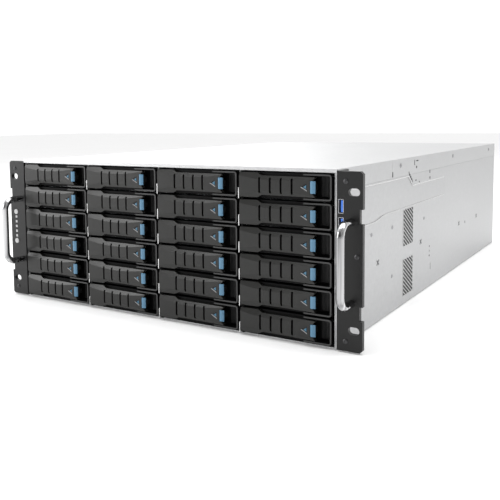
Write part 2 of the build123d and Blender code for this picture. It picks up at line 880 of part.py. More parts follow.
# Fan rotors: a hub in front of the stator, with flat blades set at an angle
rotor_back = fan_back - fan_motor_length - rotor_gap
rotor_middle = front_y + rotor_back - rotor_length / 2
rotor_axis = Axis((0, rotor_middle, 0), (0, 1, 0))
blade_plane = Plane((0, rotor_middle, 0), x_dir=(1, 0, 0), z_dir=(0, 0, 1)).rotated((blade_angle, 0, 0))

with BuildPart() as blade:
    with BuildSketch(blade_plane):
        Polygon(
            (blade_root, -blade_root_chord / 2),
            (blade_tip, -blade_tip_chord / 2),
            (blade_tip, blade_tip_chord / 2),
            (blade_root, blade_root_chord / 2),
            align=None,
        )
    extrude(amount=blade_sheet / 2, both=True)

with BuildPart() as rotor:
    with BuildSketch(upright(rotor_back)):
        RegularPolygon(fan_hub_radius, round_sides)
    extrude(amount=rotor_length)
    for index in range(rotor_blades):
        add(blade.part.rotate(rotor_axis, index * 360 / rotor_blades))

for index, fan_x in enumerate(fan_places):
    with BuildPart() as fan_rotor:
        add(rotor.part.moved(Location((fan_x, 0, fan_z))))
    fan_rotor.part.label = f"fan_rotor_{index + 1}"
    export_step(fan_rotor.part, f"parts/fan_rotor_{index + 1}.step")

# Main board on standoffs, with sockets, memory slots, card slots, a port block and a chipset sink
board_middle_x = (board_left + board_right) / 2
board_middle_y = front_y + (board_front + board_back) / 2
processor_depth = board_front + processor_inset
processor_y = front_y + processor_depth
processor_xs = [board_middle_x + offset for offset in processor_offsets]
memory_xs = [
    board_middle_x + offset + (index - (memory_per_bank - 1) / 2) * memory_pitch
    for offset in memory_offsets
    for index in range(memory_per_bank)
]
chipset_x = board_left + chipset_inset_x
chipset_depth = board_front + chipset_inset_y

with BuildPart() as main_board:
    block(board_left, board_right, board_front, board_back, sheet + standoff, board_top)
    with BuildSketch(Plane.XY.offset(sheet)):
        with Locations((board_middle_x, board_middle_y)):
            with GridLocations((board_right - board_left) / 2 - standoff_margin,
                               board_length - 2 * standoff_margin, 3, 2):
                RegularPolygon(standoff_radius, 6)
    extrude(amount=standoff)
    with BuildSketch(Plane.XY.offset(board_top)):
        with Locations(*[(x, processor_y) for x in processor_xs]):
            Rectangle(socket_size, socket_size)
    extrude(amount=socket_height)
    with BuildSketch(Plane.XY.offset(board_top)):
        with Locations(*[(x, processor_y) for x in memory_xs]):
            Rectangle(memory_slot_width, module_length + 2 * memory_slot_end)
            Rectangle(module_sheet + 2 * memory_groove_gap, module_length + 2 * memory_groove_gap,
                      mode=Mode.SUBTRACT)
    extrude(amount=memory_slot_height)
    with BuildSketch(Plane.XY.offset(board_top)):
        with Locations(*[(x, front_y + chassis_depth - card_slot_tail - card_slot_length / 2)
                         for x in slot_xs]):
            Rectangle(card_slot_width, card_slot_length)
    extrude(amount=card_slot_height)
    block(chipset_x - chipset_size / 2, chipset_x + chipset_size / 2,
          chipset_depth - chipset_size / 2, chipset_depth + chipset_size / 2,
          board_top, board_top + chipset_height)
    block(board_left, board_left + port_block_width, chassis_depth - port_block_length, chassis_depth,
          board_top, board_top + port_block_height)
    with BuildSketch(upright(chassis_depth)):
        with Locations((board_left + port_block_width / 2, board_top + port_block_height / 2)):
            with GridLocations(port_block_width / port_columns, port_block_height / port_rows,
                               port_columns, port_rows):
                Rectangle(port_width, port_height)
    extrude(amount=port_recess, mode=Mode.SUBTRACT)
main_board.part.label = "main_board"
export_step(main_board.part, "parts/main_board.step")

# Finned heat sinks on the two processors
sink_bottom = board_top + socket_height
fin_pitch = (sink_size - sink_fin_sheet) / (sink_fins - 1)

with BuildPart() as heat_sinks:
    with BuildSketch(upright(processor_depth + sink_size / 2)):
        with Locations(*[(x, sink_bottom + sink_base / 2) for x in processor_xs]):
            Rectangle(sink_size, sink_base)
        with Locations(*[(x, sink_bottom + sink_height / 2) for x in processor_xs]):
            with GridLocations(fin_pitch, 0, sink_fins, 1):
                Rectangle(sink_fin_sheet, sink_height)
    extrude(amount=sink_size)
heat_sinks.part.label = "heat_sinks"
export_step(heat_sinks.part, "parts/heat_sinks.step")

# Memory modules, standing in the slots
with BuildPart() as memory_modules:
    with BuildSketch(Plane.XY.offset(board_top + memory_lift)):
        with Locations(*[(x, processor_y) for x in memory_xs]):
            Rectangle(module_sheet, module_length)
    extrude(amount=module_height)
memory_modules.part.label = "memory_modules"
export_step(memory_modules.part, "parts/memory_modules.step")

# Power supplies: a box with an inlet, a fan recess and a grip on its rear face
inlet_x = supply_left + inlet_left + inlet_width / 2

for supply_name, supply_bottom in (
    ("power_supply_1", supply_low_bottom),
    ("power_supply_2", supply_high_bottom),
):
    supply_middle = supply_bottom + supply_height / 2
    with BuildPart() as power_supply:
        block(supply_left, supply_right, supply_front, chassis_depth,
              supply_bottom, supply_bottom + supply_height)
        block(inlet_x - inlet_width / 2, inlet_x + inlet_width / 2,
              chassis_depth - inlet_depth, chassis_depth,
              supply_middle - inlet_height / 2, supply_middle + inlet_height / 2, mode=Mode.SUBTRACT)
        for pin_x, pin_z in inlet_pins:
            block(inlet_x + pin_x - inlet_pin_width / 2, inlet_x + pin_x + inlet_pin_width / 2,
                  chassis_depth - inlet_depth, chassis_depth - inlet_depth + inlet_pin_length,
                  supply_middle + pin_z - inlet_pin_height / 2, supply_middle + pin_z + inlet_pin_height / 2)
        with BuildSketch(upright(chassis_depth)):
            with Locations((supply_right - supply_fan_inset, supply_middle)):
                RegularPolygon(supply_fan_radius, round_sides)
                RegularPolygon(supply_fan_hub, round_sides, mode=Mode.SUBTRACT)
        extrude(amount=supply_fan_recess, mode=Mode.SUBTRACT)
        with BuildSketch(Plane.YZ.offset(supply_left + grip_left - grip_bar)):
            with Locations((front_y + chassis_depth + grip_reach / 2, supply_middle)):
                Rectangle(grip_reach, grip_height)
            with Locations((front_y + chassis_depth + (grip_reach - grip_bar) / 2, supply_middle)):
                Rectangle(grip_reach - grip_bar, grip_height - 2 * grip_bar, mode=Mode.SUBTRACT)
        extrude(amount=grip_bar)
    power_supply.part.label = supply_name
    export_step(power_supply.part, f"parts/{supply_name}.step")

# Slot brackets behind the rear wall's slot openings
with BuildPart() as slot_brackets:
    for x in slot_xs:
        block(x - bracket_width / 2, x + bracket_width / 2,
              chassis_depth - sheet - bracket_sheet, chassis_depth - sheet, bracket_bottom, bracket_top)
        block(x - bracket_width / 2, x + bracket_width / 2,
              chassis_depth - sheet - bracket_tab, chassis_depth - sheet,
              bracket_top - bracket_sheet, bracket_top)
slot_brackets.part.label = "slot_brackets"
export_step(slot_brackets.part, "parts/slot_brackets.step")

# Screws: small heads on the ears, larger heads over the slot brackets
with BuildPart() as screws:
    with BuildSketch(upright(0)):
        with Locations(*left_ear_screws, *right_ear_screws):
            RegularPolygon(screw_radius, screw_sides)
    extrude(amount=screw_height)
    with BuildSketch(upright(chassis_depth)):
        with Locations(*[(x, (slot_top + bracket_top) / 2) for x in slot_xs]):
            RegularPolygon(bracket_screw_radius, screw_sides)
    extrude(amount=-bracket_screw_height)
screws.part.label = "screws"
export_step(screws.part, "parts/screws.step")
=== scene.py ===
"""Studio view of a rack-mount storage server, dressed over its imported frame.

Lengths are in metres in the frame's axes: +X right seen from the front, +Y to the rear, +Z up.
Sizes under a heading that says so are in millimetres, and MM turns them into metres.
"""

import math

import bmesh
import bpy
from mathutils import Matrix, Vector


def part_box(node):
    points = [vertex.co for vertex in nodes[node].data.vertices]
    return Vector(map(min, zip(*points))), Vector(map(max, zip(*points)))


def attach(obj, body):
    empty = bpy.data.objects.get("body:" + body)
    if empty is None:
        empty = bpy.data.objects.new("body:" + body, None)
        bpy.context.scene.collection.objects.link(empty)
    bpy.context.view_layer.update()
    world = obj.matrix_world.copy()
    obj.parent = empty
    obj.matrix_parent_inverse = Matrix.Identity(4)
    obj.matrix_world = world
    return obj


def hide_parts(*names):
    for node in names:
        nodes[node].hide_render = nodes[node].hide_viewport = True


MM = 0.001
COLUMNS = 4
ROWS = 6
ARC_STEPS = 12

# Carrier face, in millimetres from the middle of the bay; a depth counts from the ears' front face
LEVER_LEFT = -50.8
LEVER_RIGHT = 34.0
LEVER_HALF = 12.8
LEVER_WAIST = 9.9
LEVER_STEPS = 56
LEVER_CUT = 6
LEVER_EDGE = 0.4
LEVER_SOFT = (0.28, 2, 12.0)
LEVER_FRONT = -2.9
LEVER_BACK = 2.5
SHOULDER = (-31.5, -24.5)
BOW_RADIUS = 228.0
BOW_MIDDLE = -9.0
BOW_WAIST = 5.4
BOW_FALL = 0.404
SLOT_SIZE = (2.2, 16.0)
SLOT_ROUNDING = 0.7
SLOT_FIRST = -27.2
SLOT_PITCH = 12.2
SLOTS = 4
WINDOW = (19.0, 25.8, 3.9)
WINDOW_DEPTH = 0.9
LENS_INSET = (2.7, 0.7, 1.9, 1.7)
MOUTH = (28.9, 6.4, 2.6)
BUTTON = (29.2, 34.6, 6.1)
BUTTON_FRONT = -3.3
BUTTON_CROWN = 0.9
BUTTON_CAP = -1.2
BUTTON_BACK = 2.3
LATCH = (30.2, 33.4, 7.2, 3.0)
BEZEL_HALF = 50.8
BEZEL_HEIGHT = 12.9
BEZEL_FRONT = 3.0
BEZEL_BACK = 12.2
RIM_START = 21.0
RIM_WALL = 1.6
RIM_RADIUS = 3.0
RIM_INNER_RADIUS = 1.6
RIM_FRONT = -0.5
POCKET_LEFT = 28.3
POCKET_DEPTH = 10.2
POCKET_RADIUS = 1.4
RIB_COUNT = 8
RIB_FIRST = 36.2
RIB_PITCH = 1.45
RIB_SIZE = (0.6, 9.8, 0.7)
TRAY_HALF = 51.9
TRAY_BOTTOM = 13.9
TRAY_END = 166.0
RAIL_START = 8.0
RAIL_TOP = 5.1
RAIL_SHEET = 1.1
STRAP_START = 146.0
STRAP_SHEET = 0.7
HINGE_X = -48.3
LUG_SHEET = 0.95
LUG_OUTLINE = ((-1.6, 8.0), (-1.6, -0.6), (-0.9, -1.9), (0.9, -1.9), (1.6, -0.6), (1.6, 8.0))
PIN_RADIUS = 0.9
DRIVE = (50.7, 13.05, 12.4, 159.4)
DRIVE_DISCS = ((0, 52, 48, (24, 23.4, 20)), (26, 116, 32, (8, 7.6, 5)))
DRIVE_SCREWS = ((-45, 22), (45, 22), (-45, 85), (45, 85), (-42, 148), (42, 148))

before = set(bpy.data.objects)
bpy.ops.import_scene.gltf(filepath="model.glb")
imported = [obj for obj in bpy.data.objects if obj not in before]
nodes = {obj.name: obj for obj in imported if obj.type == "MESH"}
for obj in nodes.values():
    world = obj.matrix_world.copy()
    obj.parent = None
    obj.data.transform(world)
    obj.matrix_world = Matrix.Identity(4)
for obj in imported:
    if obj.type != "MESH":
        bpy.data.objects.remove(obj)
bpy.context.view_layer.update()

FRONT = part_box("left_ear")[0].y
chassis_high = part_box("chassis")[1]
REAR = chassis_high.y
SIDE = chassis_high.x


# Materials

SPANGLE_SCALE = 260.0
STREAK_STRETCH = (1.0, 0.03, 1.0)
STREAK_SCALE = 900.0
PATCH_STRETCH = (1.0, 0.4, 1.0)
PATCH_SCALE = 9.0
COAT_PATCH_SCALE = 25.0
LINE_STRETCH = (1, 1, 0.015)


def new_material(name):
    """A principled material, its node tree and its shader."""
    material = bpy.data.materials.new(name)
    material.use_nodes = True
    tree = material.node_tree
    return material, tree, tree.nodes["Principled BSDF"]


def place_coords(tree, scale=(1, 1, 1)):
    """Object coordinates, stretched by a scale along each axis."""
    coords = tree.nodes.new("ShaderNodeTexCoord")
    mapping = tree.nodes.new("ShaderNodeMapping")
    mapping.inputs["Scale"].default_value = scale
    tree.links.new(coords.outputs["Object"], mapping.inputs["Vector"])
    return mapping.outputs["Vector"]


def add_noise(tree, vector, scale, detail=4.0):
    """Noise between 0 and 1."""
    noise = tree.nodes.new("ShaderNodeTexNoise")
    noise.inputs["Scale"].default_value = scale
    noise.inputs["Detail"].default_value = detail
    noise.inputs["Roughness"].default_value = 0.55
    tree.links.new(vector, noise.inputs["Vector"])
    return noise.outputs["Fac"]


def spread(tree, value, low, high, start=0.3, end=0.7):
    """A value between start and end, spread over low to high."""
    remap = tree.nodes.new("ShaderNodeMapRange")
    remap.inputs["From Min"].default_value = start
    remap.inputs["From Max"].default_value = end
    remap.inputs["To Min"].default_value = low
    remap.inputs["To Max"].default_value = high
    tree.links.new(value, remap.inputs["Value"])
    return remap.outputs["Result"]


def blend_colours(tree, value, first, second):
    """A colour between two, by a value from 0 to 1."""
    ramp = tree.nodes.new("ShaderNodeValToRGB")
    ramp.color_ramp.elements[0].position = 0.25
    ramp.color_ramp.elements[0].color = (*first, 1)
    ramp.color_ramp.elements[1].position = 0.75
    ramp.color_ramp.elements[1].color = (*second, 1)
    tree.links.new(value, ramp.inputs["Fac"])
    return ramp.outputs["Color"]


def add_bump(tree, height, strength, distance):
    """A bumped normal."""
    bump = tree.nodes.new("ShaderNodeBump")
    bump.inputs["Strength"].default_value = strength
    bump.inputs["Distance"].default_value = distance
    tree.links.new(height, bump.inputs["Height"])
    return bump.outputs["Normal"]


def sheet_metal(name, dark, light, gloss, metallic=0.9):
    """Zinc-coated sheet: a fine spangle, rolling streaks along the sheet and slightly patchy gloss."""
    material, tree, shader = new_material(name)
    spangle = tree.nodes.new("ShaderNodeTexVoronoi")
    spangle.inputs["Scale"].default_value = SPANGLE_SCALE
    tree.links.new(place_coords(tree), spangle.inputs["Vector"])
    flakes = tree.nodes.new("ShaderNodeSeparateColor")
    tree.links.new(spangle.outputs["Color"], flakes.inputs["Color"])
    streaks = add_noise(tree, place_coords(tree, STREAK_STRETCH), STREAK_SCALE, 3.0)
    patches = add_noise(tree, place_coords(tree, PATCH_STRETCH), PATCH_SCALE, 2.0)
    mixed = tree.nodes.new("ShaderNodeMix")
    mixed.inputs["Factor"].default_value = 0.5
    tree.links.new(flakes.outputs["Red"], mixed.inputs["A"])
    tree.links.new(streaks, mixed.inputs["B"])
    layered = tree.nodes.new("ShaderNodeMix")
    layered.inputs["Factor"].default_value = 0.3
    tree.links.new(mixed.outputs["Result"], layered.inputs["A"])
    tree.links.new(patches, layered.inputs["B"])
    tree.links.new(blend_colours(tree, layered.outputs["Result"], dark, light), shader.inputs["Base Color"])
    tree.links.new(spread(tree, mixed.outputs["Result"], *gloss), shader.inputs["Roughness"])
    tree.links.new(add_bump(tree, streaks, 0.03, 0.0001), shader.inputs["Normal"])
    shader.inputs["Metallic"].default_value = metallic
    return material


def grained(name, dark, light, gloss, grain_scale, grain_depth, metallic=0.0, specular=0.5):
    """Moulded plastic or powder coat: fine grain, slightly patchy colour and gloss."""
    material, tree, shader = new_material(name)
    coords = place_coords(tree)
    grain = add_noise(tree, coords, grain_scale, 2.0)
    patches = add_noise(tree, coords, COAT_PATCH_SCALE, 3.0)
    tree.links.new(blend_colours(tree, patches, dark, light), shader.inputs["Base Color"])
    tree.links.new(spread(tree, patches, *gloss), shader.inputs["Roughness"])
    tree.links.new(add_bump(tree, grain, 0.35, grain_depth), shader.inputs["Normal"])
    shader.inputs["Metallic"].default_value = metallic
    shader.inputs["Specular IOR Level"].default_value = specular
    return material


def polished(name, tone, gloss, depth=0.94, width=2200.0):
    """Bright metal with fine lines drawn along its Z axis; made deep and broad, as on the chrome, the lines
    are painted reflection streaks.
    """
    material, tree, shader = new_material(name)
    lines = add_noise(tree, place_coords(tree, LINE_STRETCH), width, 2.0)
    tree.links.new(blend_colours(tree, lines, tuple(depth * part for part in tone), tone),
                   shader.inputs["Base Color"])
    tree.links.new(spread(tree, lines, *gloss), shader.inputs["Roughness"])
    shader.inputs["Metallic"].default_value = 1.0
    return material


METALS = {
    "zinc": sheet_metal("galvanised_steel", (0.44, 0.443, 0.447), (0.52, 0.523, 0.527), (0.38, 0.48)),
    "cover": sheet_metal("cover_sheet", (0.46, 0.463, 0.467), (0.53, 0.533, 0.537), (0.36, 0.46)),
    "case": sheet_metal("supply_case", (0.42, 0.43, 0.44), (0.58, 0.59, 0.60), (0.34, 0.46)),
    "cast": grained("cast_aluminium", (0.44, 0.45, 0.46), (0.56, 0.57, 0.58), (0.38, 0.52),
                    2600.0, 0.00012, 0.9),
    "plate": sheet_metal("drive_plate", (0.34, 0.345, 0.35), (0.44, 0.445, 0.45), (0.26, 0.38), 0.95),
    # Chrome with deep broad streaks: painted reflections of a dark surround.
    "chrome": polished("handle_chrome", (0.80, 0.80, 0.81), (0.07, 0.13), 0.2, 330.0),
    "screw": polished("screw_steel", (0.07, 0.07, 0.072), (0.30, 0.42)),
    "bright_screw": polished("bright_screw", (0.36, 0.36, 0.37), (0.25, 0.38)),
    # A lighter copy of the zinc: painted highlight on the band edges and cage lips; also the bright wire of
    # the fan guards.
    "bright_wire_and_edge_highlight": polished("bright_wire_and_edge_highlight", (0.70, 0.70, 0.70), (0.22, 0.30)),
    "sink": sheet_metal("sink_aluminium", (0.66, 0.67, 0.68), (0.78, 0.79, 0.80), (0.28, 0.40), 0.95),
    "port": polished("port_shell", (0.55, 0.55, 0.57), (0.25, 0.38)),
}
COATS = {
    "ear": grained("ear_paint", (0.003, 0.003, 0.003), (0.005, 0.005, 0.005), (0.34, 0.44),
                   1900.0, 0.00018, specular=0.35),
    "carrier": grained("carrier_plastic", (0.0015, 0.0015, 0.0017), (0.003, 0.003, 0.0033), (0.50, 0.62),
                       3200.0, 0.0001, specular=0.12),
    # A lighter copy of the carrier plastic: painted highlight on the rim's front edge and on the pocket ribs.
    "rim": grained("rim_highlight_plastic", (0.018, 0.018, 0.018), (0.026, 0.026, 0.026), (0.32, 0.40),
                   3200.0, 0.00008),
    "lever": grained("lever_plastic", (0.010, 0.010, 0.009), (0.014, 0.014, 0.013), (0.26, 0.34),
                     3000.0, 0.00008, specular=0.38),
    "release": grained("release_plastic", (0.070, 0.175, 0.280), (0.088, 0.210, 0.325), (0.26, 0.36),
                       3000.0, 0.00005),
    # Light grey of the window sill: a painted highlight along the recess's lower edge.
    "line": grained("window_sill_highlight", (0.26, 0.26, 0.27), (0.32, 0.32, 0.33), (0.35, 0.45), 3000.0, 0.00003),
    "lens": grained("window_lens", (0.040, 0.125, 0.200), (0.060, 0.170, 0.260), (0.12, 0.2),
                    3000.0, 0.00002),
    "button": grained("button_plastic", (0.42, 0.42, 0.42), (0.50, 0.50, 0.50), (0.35, 0.5), 3000.0, 0.00004),
    "usb": grained("usb_tongue", (0.030, 0.150, 0.620), (0.045, 0.190, 0.700), (0.35, 0.45),
                   3000.0, 0.00003),
    "black": grained("black_plastic", (0.006, 0.006, 0.006), (0.010, 0.010, 0.010), (0.40, 0.55),
                     2400.0, 0.0001, specular=0.3),
    "board": grained("board_laminate", (0.006, 0.060, 0.028), (0.010, 0.085, 0.040), (0.30, 0.45),
                     900.0, 0.0001),
}


# Mesh helpers


def mesh_from(points, faces):
    """A mesh from points and faces, with its faces turned outwards."""
    mesh = bpy.data.meshes.new("piece")
    mesh.from_pydata([tuple(point) for point in points], [], faces)
    shell = bmesh.new()
    shell.from_mesh(mesh)
    bmesh.ops.recalc_face_normals(shell, faces=shell.faces)
    shell.to_mesh(mesh)
    shell.free()
    return mesh


def prism(outline, low, high, axis="Y"):
    """A closed outline pushed along an axis. The outline's pairs are the two other axes in order."""
    order = {"X": (2, 0, 1), "Y": (0, 2, 1), "Z": (0, 1, 2)}[axis]
    points = []
    for along in (low, high):
        for first, second in outline:
            values = (first, second, along)
            points.append(tuple(values[index] for index in order))
    count = len(outline)
    faces = [tuple(range(count)), tuple(range(2 * count - 1, count - 1, -1))]
    faces += [(i, (i + 1) % count, (i + 1) % count + count, i + count) for i in range(count)]
    return mesh_from(points, faces)


def box_outline(low_first, high_first, low_second, high_second):
    """Four corners of a rectangle."""
    return [(low_first, low_second), (high_first, low_second),
            (high_first, high_second), (low_first, high_second)]


def centred_outline(first, second, half_first, half_second):
    """Four corners of a rectangle about a middle."""
    return box_outline(first - half_first, first + half_first, second - half_second, second + half_second)


def round_outline(low_first, high_first, low_second, high_second, radius, steps=6):
    """A rectangle with round corners."""
    outline = []
    centres = [
        (high_first - radius, high_second - radius, 0),
        (low_first + radius, high_second - radius, 90),
        (low_first + radius, low_second + radius, 180),
        (high_first - radius, low_second + radius, 270),
    ]
    for first, second, start in centres:
        for step in range(steps + 1):
            angle = math.radians(start + 90 * step / steps)
            outline.append((first + radius * math.cos(angle), second + radius * math.sin(angle)))
    return outline


def turned(profile, centre, axis, steps):
    """A turned form. The profile's pairs are the distance along the axis and the radius."""
    points = []
    for along, radius in profile:
        for step in range(steps):
            angle = 2 * math.pi * step / steps
            across = (radius * math.cos(angle), radius * math.sin(angle))
            offset = {
                "X": (along, across[0], across[1]),
                "Y": (across[0], along, across[1]),
                "Z": (across[0], across[1], along),
            }[axis]
            points.append(tuple(centre[i] + offset[i] for i in range(3)))
    faces = []
    for ring in range(len(profile) - 1):
        for step in range(steps):
            following = (step + 1) % steps
            faces.append((ring * steps + step, ring * steps + following,
                          (ring + 1) * steps + following, (ring + 1) * steps + step))
    faces.append(tuple(range(steps)))
    faces.append(tuple(range((len(profile) - 1) * steps, len(profile) * steps)))
    return mesh_from(points, faces)


def joined(meshes, scale=1.0):
    """Several meshes as one, each face keeping its material number."""
    shell = bmesh.new()
    for mesh in meshes:
        shell.from_mesh(mesh)
    if scale != 1.0:
        bmesh.ops.scale(shell, vec=(scale, scale, scale), verts=shell.verts)
    result = bpy.data.meshes.new("piece")
    shell.to_mesh(result)
    shell.free()
    return result


def carved(mesh, cutter, operation="DIFFERENCE"):
    """The mesh with a cutter taken out of it, joined to it, or kept where the two meet."""
    target = bpy.data.objects.new("target", mesh)
    tool = bpy.data.objects.new("tool", cutter)
    for item in (target, tool):
        bpy.context.scene.collection.objects.link(item)
    modifier = target.modifiers.new("cut", "BOOLEAN")
    modifier.operation = operation
    modifier.solver = "EXACT"
    modifier.object = tool
    result = evaluated(target)
    bpy.data.objects.remove(target)
    bpy.data.objects.remove(tool)
    return result


def evaluated(item):
    """The mesh of an object with its modifiers applied."""
    depsgraph = bpy.context.evaluated_depsgraph_get()
    return bpy.data.meshes.new_from_object(item.evaluated_get(depsgraph))


def softened(mesh, width, segments=2, limit=30.0):
    """The mesh with its sharp edges rounded."""
    holder = bpy.data.objects.new("holder", mesh)
    bpy.context.scene.collection.objects.link(holder)
    mesh.shade_smooth()
    bevel = holder.modifiers.new("edges", "BEVEL")
    bevel.width = width
    bevel.segments = segments
    bevel.limit_method = "ANGLE"
    bevel.angle_limit = math.radians(limit)
    bevel.harden_normals = True
    result = evaluated(holder)
    bpy.data.objects.remove(holder)
    return result


def painted(mesh, number):
    """The mesh with all its faces set to one material number."""
    for face in mesh.polygons:
        face.material_index = number
    return mesh


def add_piece(name, mesh, materials, body, place=(0, 0, 0), stands_for=()):
    """An object that rides on a body."""
    mesh = mesh.copy() if mesh.users else mesh
    numbers = [face.material_index for face in mesh.polygons]
    mesh.materials.clear()
    for material in materials:
        mesh.materials.append(material)
    mesh.polygons.foreach_set("material_index", [min(number, len(materials) - 1) for number in numbers])
    item = bpy.data.objects.new(name, mesh)
    item.location = place
    bpy.context.scene.collection.objects.link(item)
    bpy.context.view_layer.update()
    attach(item, body)
    if stands_for:
        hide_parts(*stands_for)
    return item


# Drive carriers


def lever_mesh():
    """Waisted lever with bowed sloping faces, slots, a window recess and a mouth for the button."""
    span = LEVER_RIGHT - LEVER_LEFT
    stations = [LEVER_LEFT + span * step / LEVER_STEPS for step in range(LEVER_STEPS + 1)]
    points = []
    for x in stations:
        along = min(max((x - SHOULDER[0]) / (SHOULDER[1] - SHOULDER[0]), 0.0), 1.0)
        ease = along * along * (3 - 2 * along)
        outer = LEVER_HALF + (LEVER_WAIST - LEVER_HALF) * ease
        inner = min(BOW_WAIST + (x - BOW_MIDDLE) ** 2 / (2 * BOW_RADIUS), outer - LEVER_EDGE)
        fall = LEVER_FRONT + (outer - inner) * BOW_FALL
        for z, depth in ((outer, LEVER_BACK), (outer, fall), (inner, LEVER_FRONT),
                         (-inner, LEVER_FRONT), (-outer, fall), (-outer, LEVER_BACK)):
            points.append((x, depth, z))
    faces = [tuple(range(6)), tuple(range(len(points) - 1, len(points) - 7, -1))]
    for ring in range(len(stations) - 1):
        for side in range(6):
            near = ring * 6 + side
            following = ring * 6 + (side + 1) % 6
            faces.append((near, following, following + 6, near + 6))
    mesh = mesh_from(points, faces)
    cutters = []
    half_width, half_height = SLOT_SIZE[0] / 2, SLOT_SIZE[1] / 2
    for index in range(SLOTS):
        middle = SLOT_FIRST + index * SLOT_PITCH
        slot = round_outline(middle - half_width, middle + half_width, -half_height, half_height,
                             SLOT_ROUNDING, 4)
        cutters.append(prism(slot, -LEVER_CUT, LEVER_CUT))
    start, half, flare = MOUTH
    waist, end, wide = LEVER_RIGHT - flare, LEVER_RIGHT + 1, half + flare + 1
    mouth = [(start, -half), (waist, -half), (end, -wide), (end, wide), (waist, half), (start, half)]
    cutters.append(prism(mouth, -LEVER_CUT, LEVER_CUT))
    tip, base, height = WINDOW
    cutters.append(prism([(tip, 0), (base, -height), (base, height)], -LEVER_CUT, LEVER_FRONT + WINDOW_DEPTH))
    return softened(carved(mesh, joined(cutters)), *LEVER_SOFT)


def window_mesh():
    """Triangular window: a dark recess with a sill along its lower edge painted light grey as a highlight,
    and a small lens.
    """
    tip, base, height = WINDOW
    left, right, below, above = LENS_INSET
    floor = [(tip + 0.2, 0), (base - 0.1, -height + 0.2), (base - 0.1, height - 0.2)]
    sill = [(tip - 0.3, 0), (base + 0.1, -height - 0.2), (base + 0.1, -height + 0.65), (tip + 1.2, 0)]
    lens = [(tip + left, 0), (base - right, -height + below), (base - right, height - above)]
    return joined([
        painted(prism(floor, LEVER_FRONT + 0.7, LEVER_FRONT + 1.0), 2),
        painted(softened(prism(sill, LEVER_FRONT - 0.08, LEVER_FRONT + 0.8), 0.12), 0),
        painted(softened(prism(lens, LEVER_FRONT + 0.25, LEVER_FRONT + WINDOW_DEPTH), 0.12), 1),
    ])


def button_mesh():
    """Release button: a crowned blue cap, with its body and the latch behind it painted black as shade."""
    left, right, half = BUTTON
    outline = []
    for step in range(ARC_STEPS + 1):
        share = step / ARC_STEPS
        crown = BUTTON_CROWN * (2 * share - 0.8) ** 2
        outline.append((left + (right - left) * share, BUTTON_FRONT + crown))
    outline += [(right, BUTTON_CAP), (left, BUTTON_CAP)]
    body = box_outline(left + 0.4, right - 0.5, BUTTON_CAP, BUTTON_BACK)
    latch_left, latch_right, latch_end, latch_half = LATCH
    latch = box_outline(latch_left, latch_right, BUTTON_BACK, latch_end)
    return joined([
        painted(softened(prism(outline, -half, half, "Z"), 0.4, 3), 0),
        # Body and latch painted black: painted shade behind the blue cap.
        painted(softened(prism(body, -half + 0.5, half - 0.5, "Z"), 0.2), 1),
        painted(softened(prism(latch, -latch_half, latch_half, "Z"), 0.4), 1),
    ])


def bezel_mesh():
    """Moulded bezel with the finger pocket, and the front edge of its rim painted lighter as a highlight."""
    bezel = prism(box_outline(-BEZEL_HALF, BEZEL_HALF, -BEZEL_HEIGHT, BEZEL_HEIGHT), BEZEL_FRONT, BEZEL_BACK)
    before, left = -5, RIM_START - 9
    right, height = BEZEL_HALF - RIM_WALL, BEZEL_HEIGHT - RIM_WALL
    rim = prism(round_outline(left + 1, BEZEL_HALF, -BEZEL_HEIGHT, BEZEL_HEIGHT, RIM_RADIUS),
                RIM_FRONT, BEZEL_FRONT + 1)
    rim = carved(rim, prism(box_outline(left, RIM_START, -20, 20), before, 20))
    inside = round_outline(left, right, -height, height, RIM_INNER_RADIUS)
    rim = carved(rim, prism(inside, before, BEZEL_FRONT))
    bezel = carved(bezel, rim, "UNION")
    pocket = prism(round_outline(POCKET_LEFT, right, -height, height, POCKET_RADIUS), before, POCKET_DEPTH)
    bezel = softened(carved(bezel, pocket), 0.35)
    # Faces at the rim's front get the lighter plastic, a painted highlight.
    for face in bezel.polygons:
        face.material_index = int(face.center.y < RIM_FRONT + 0.6)
    return bezel


def tray_mesh():
    """Bezel, ribs on the floor of the finger pocket painted lighter as a highlight, side rails, hinge lugs,
    rear strap and hinge pin.
    """
    parts = [bezel_mesh()]
    width, half, height = RIB_SIZE
    for index in range(RIB_COUNT):
        x = RIB_FIRST + RIB_PITCH * index
        rib = prism(box_outline(x, x + width, -half, half), POCKET_DEPTH - height, POCKET_DEPTH + 0.1)
        parts.append(painted(softened(rib, 0.15), 1))
    for side in (-1, 1):
        low, high = sorted((side * TRAY_HALF, side * (TRAY_HALF - RAIL_SHEET)))
        rail = box_outline(RAIL_START, TRAY_END, -TRAY_BOTTOM, RAIL_TOP)
        parts.append(softened(prism(rail, low, high, "X"), 0.3))
        low, high = sorted((side * BEZEL_HEIGHT, side * (BEZEL_HEIGHT + LUG_SHEET)))
        lug = [(HINGE_X + x, depth) for x, depth in LUG_OUTLINE]
        parts.append(softened(prism(lug, low, high, "Z"), 0.2))
    strap = box_outline(-TRAY_HALF + 0.5, TRAY_HALF - 0.5, STRAP_START, TRAY_END)
    parts.append(softened(prism(strap, -TRAY_BOTTOM, -TRAY_BOTTOM + STRAP_SHEET, "Z"), 0.2))
    pin = [(-BEZEL_HEIGHT, PIN_RADIUS), (BEZEL_HEIGHT, PIN_RADIUS)]
    parts.append(turned(pin, (HINGE_X, 0, 0), "Z", 16))
    return joined(parts)


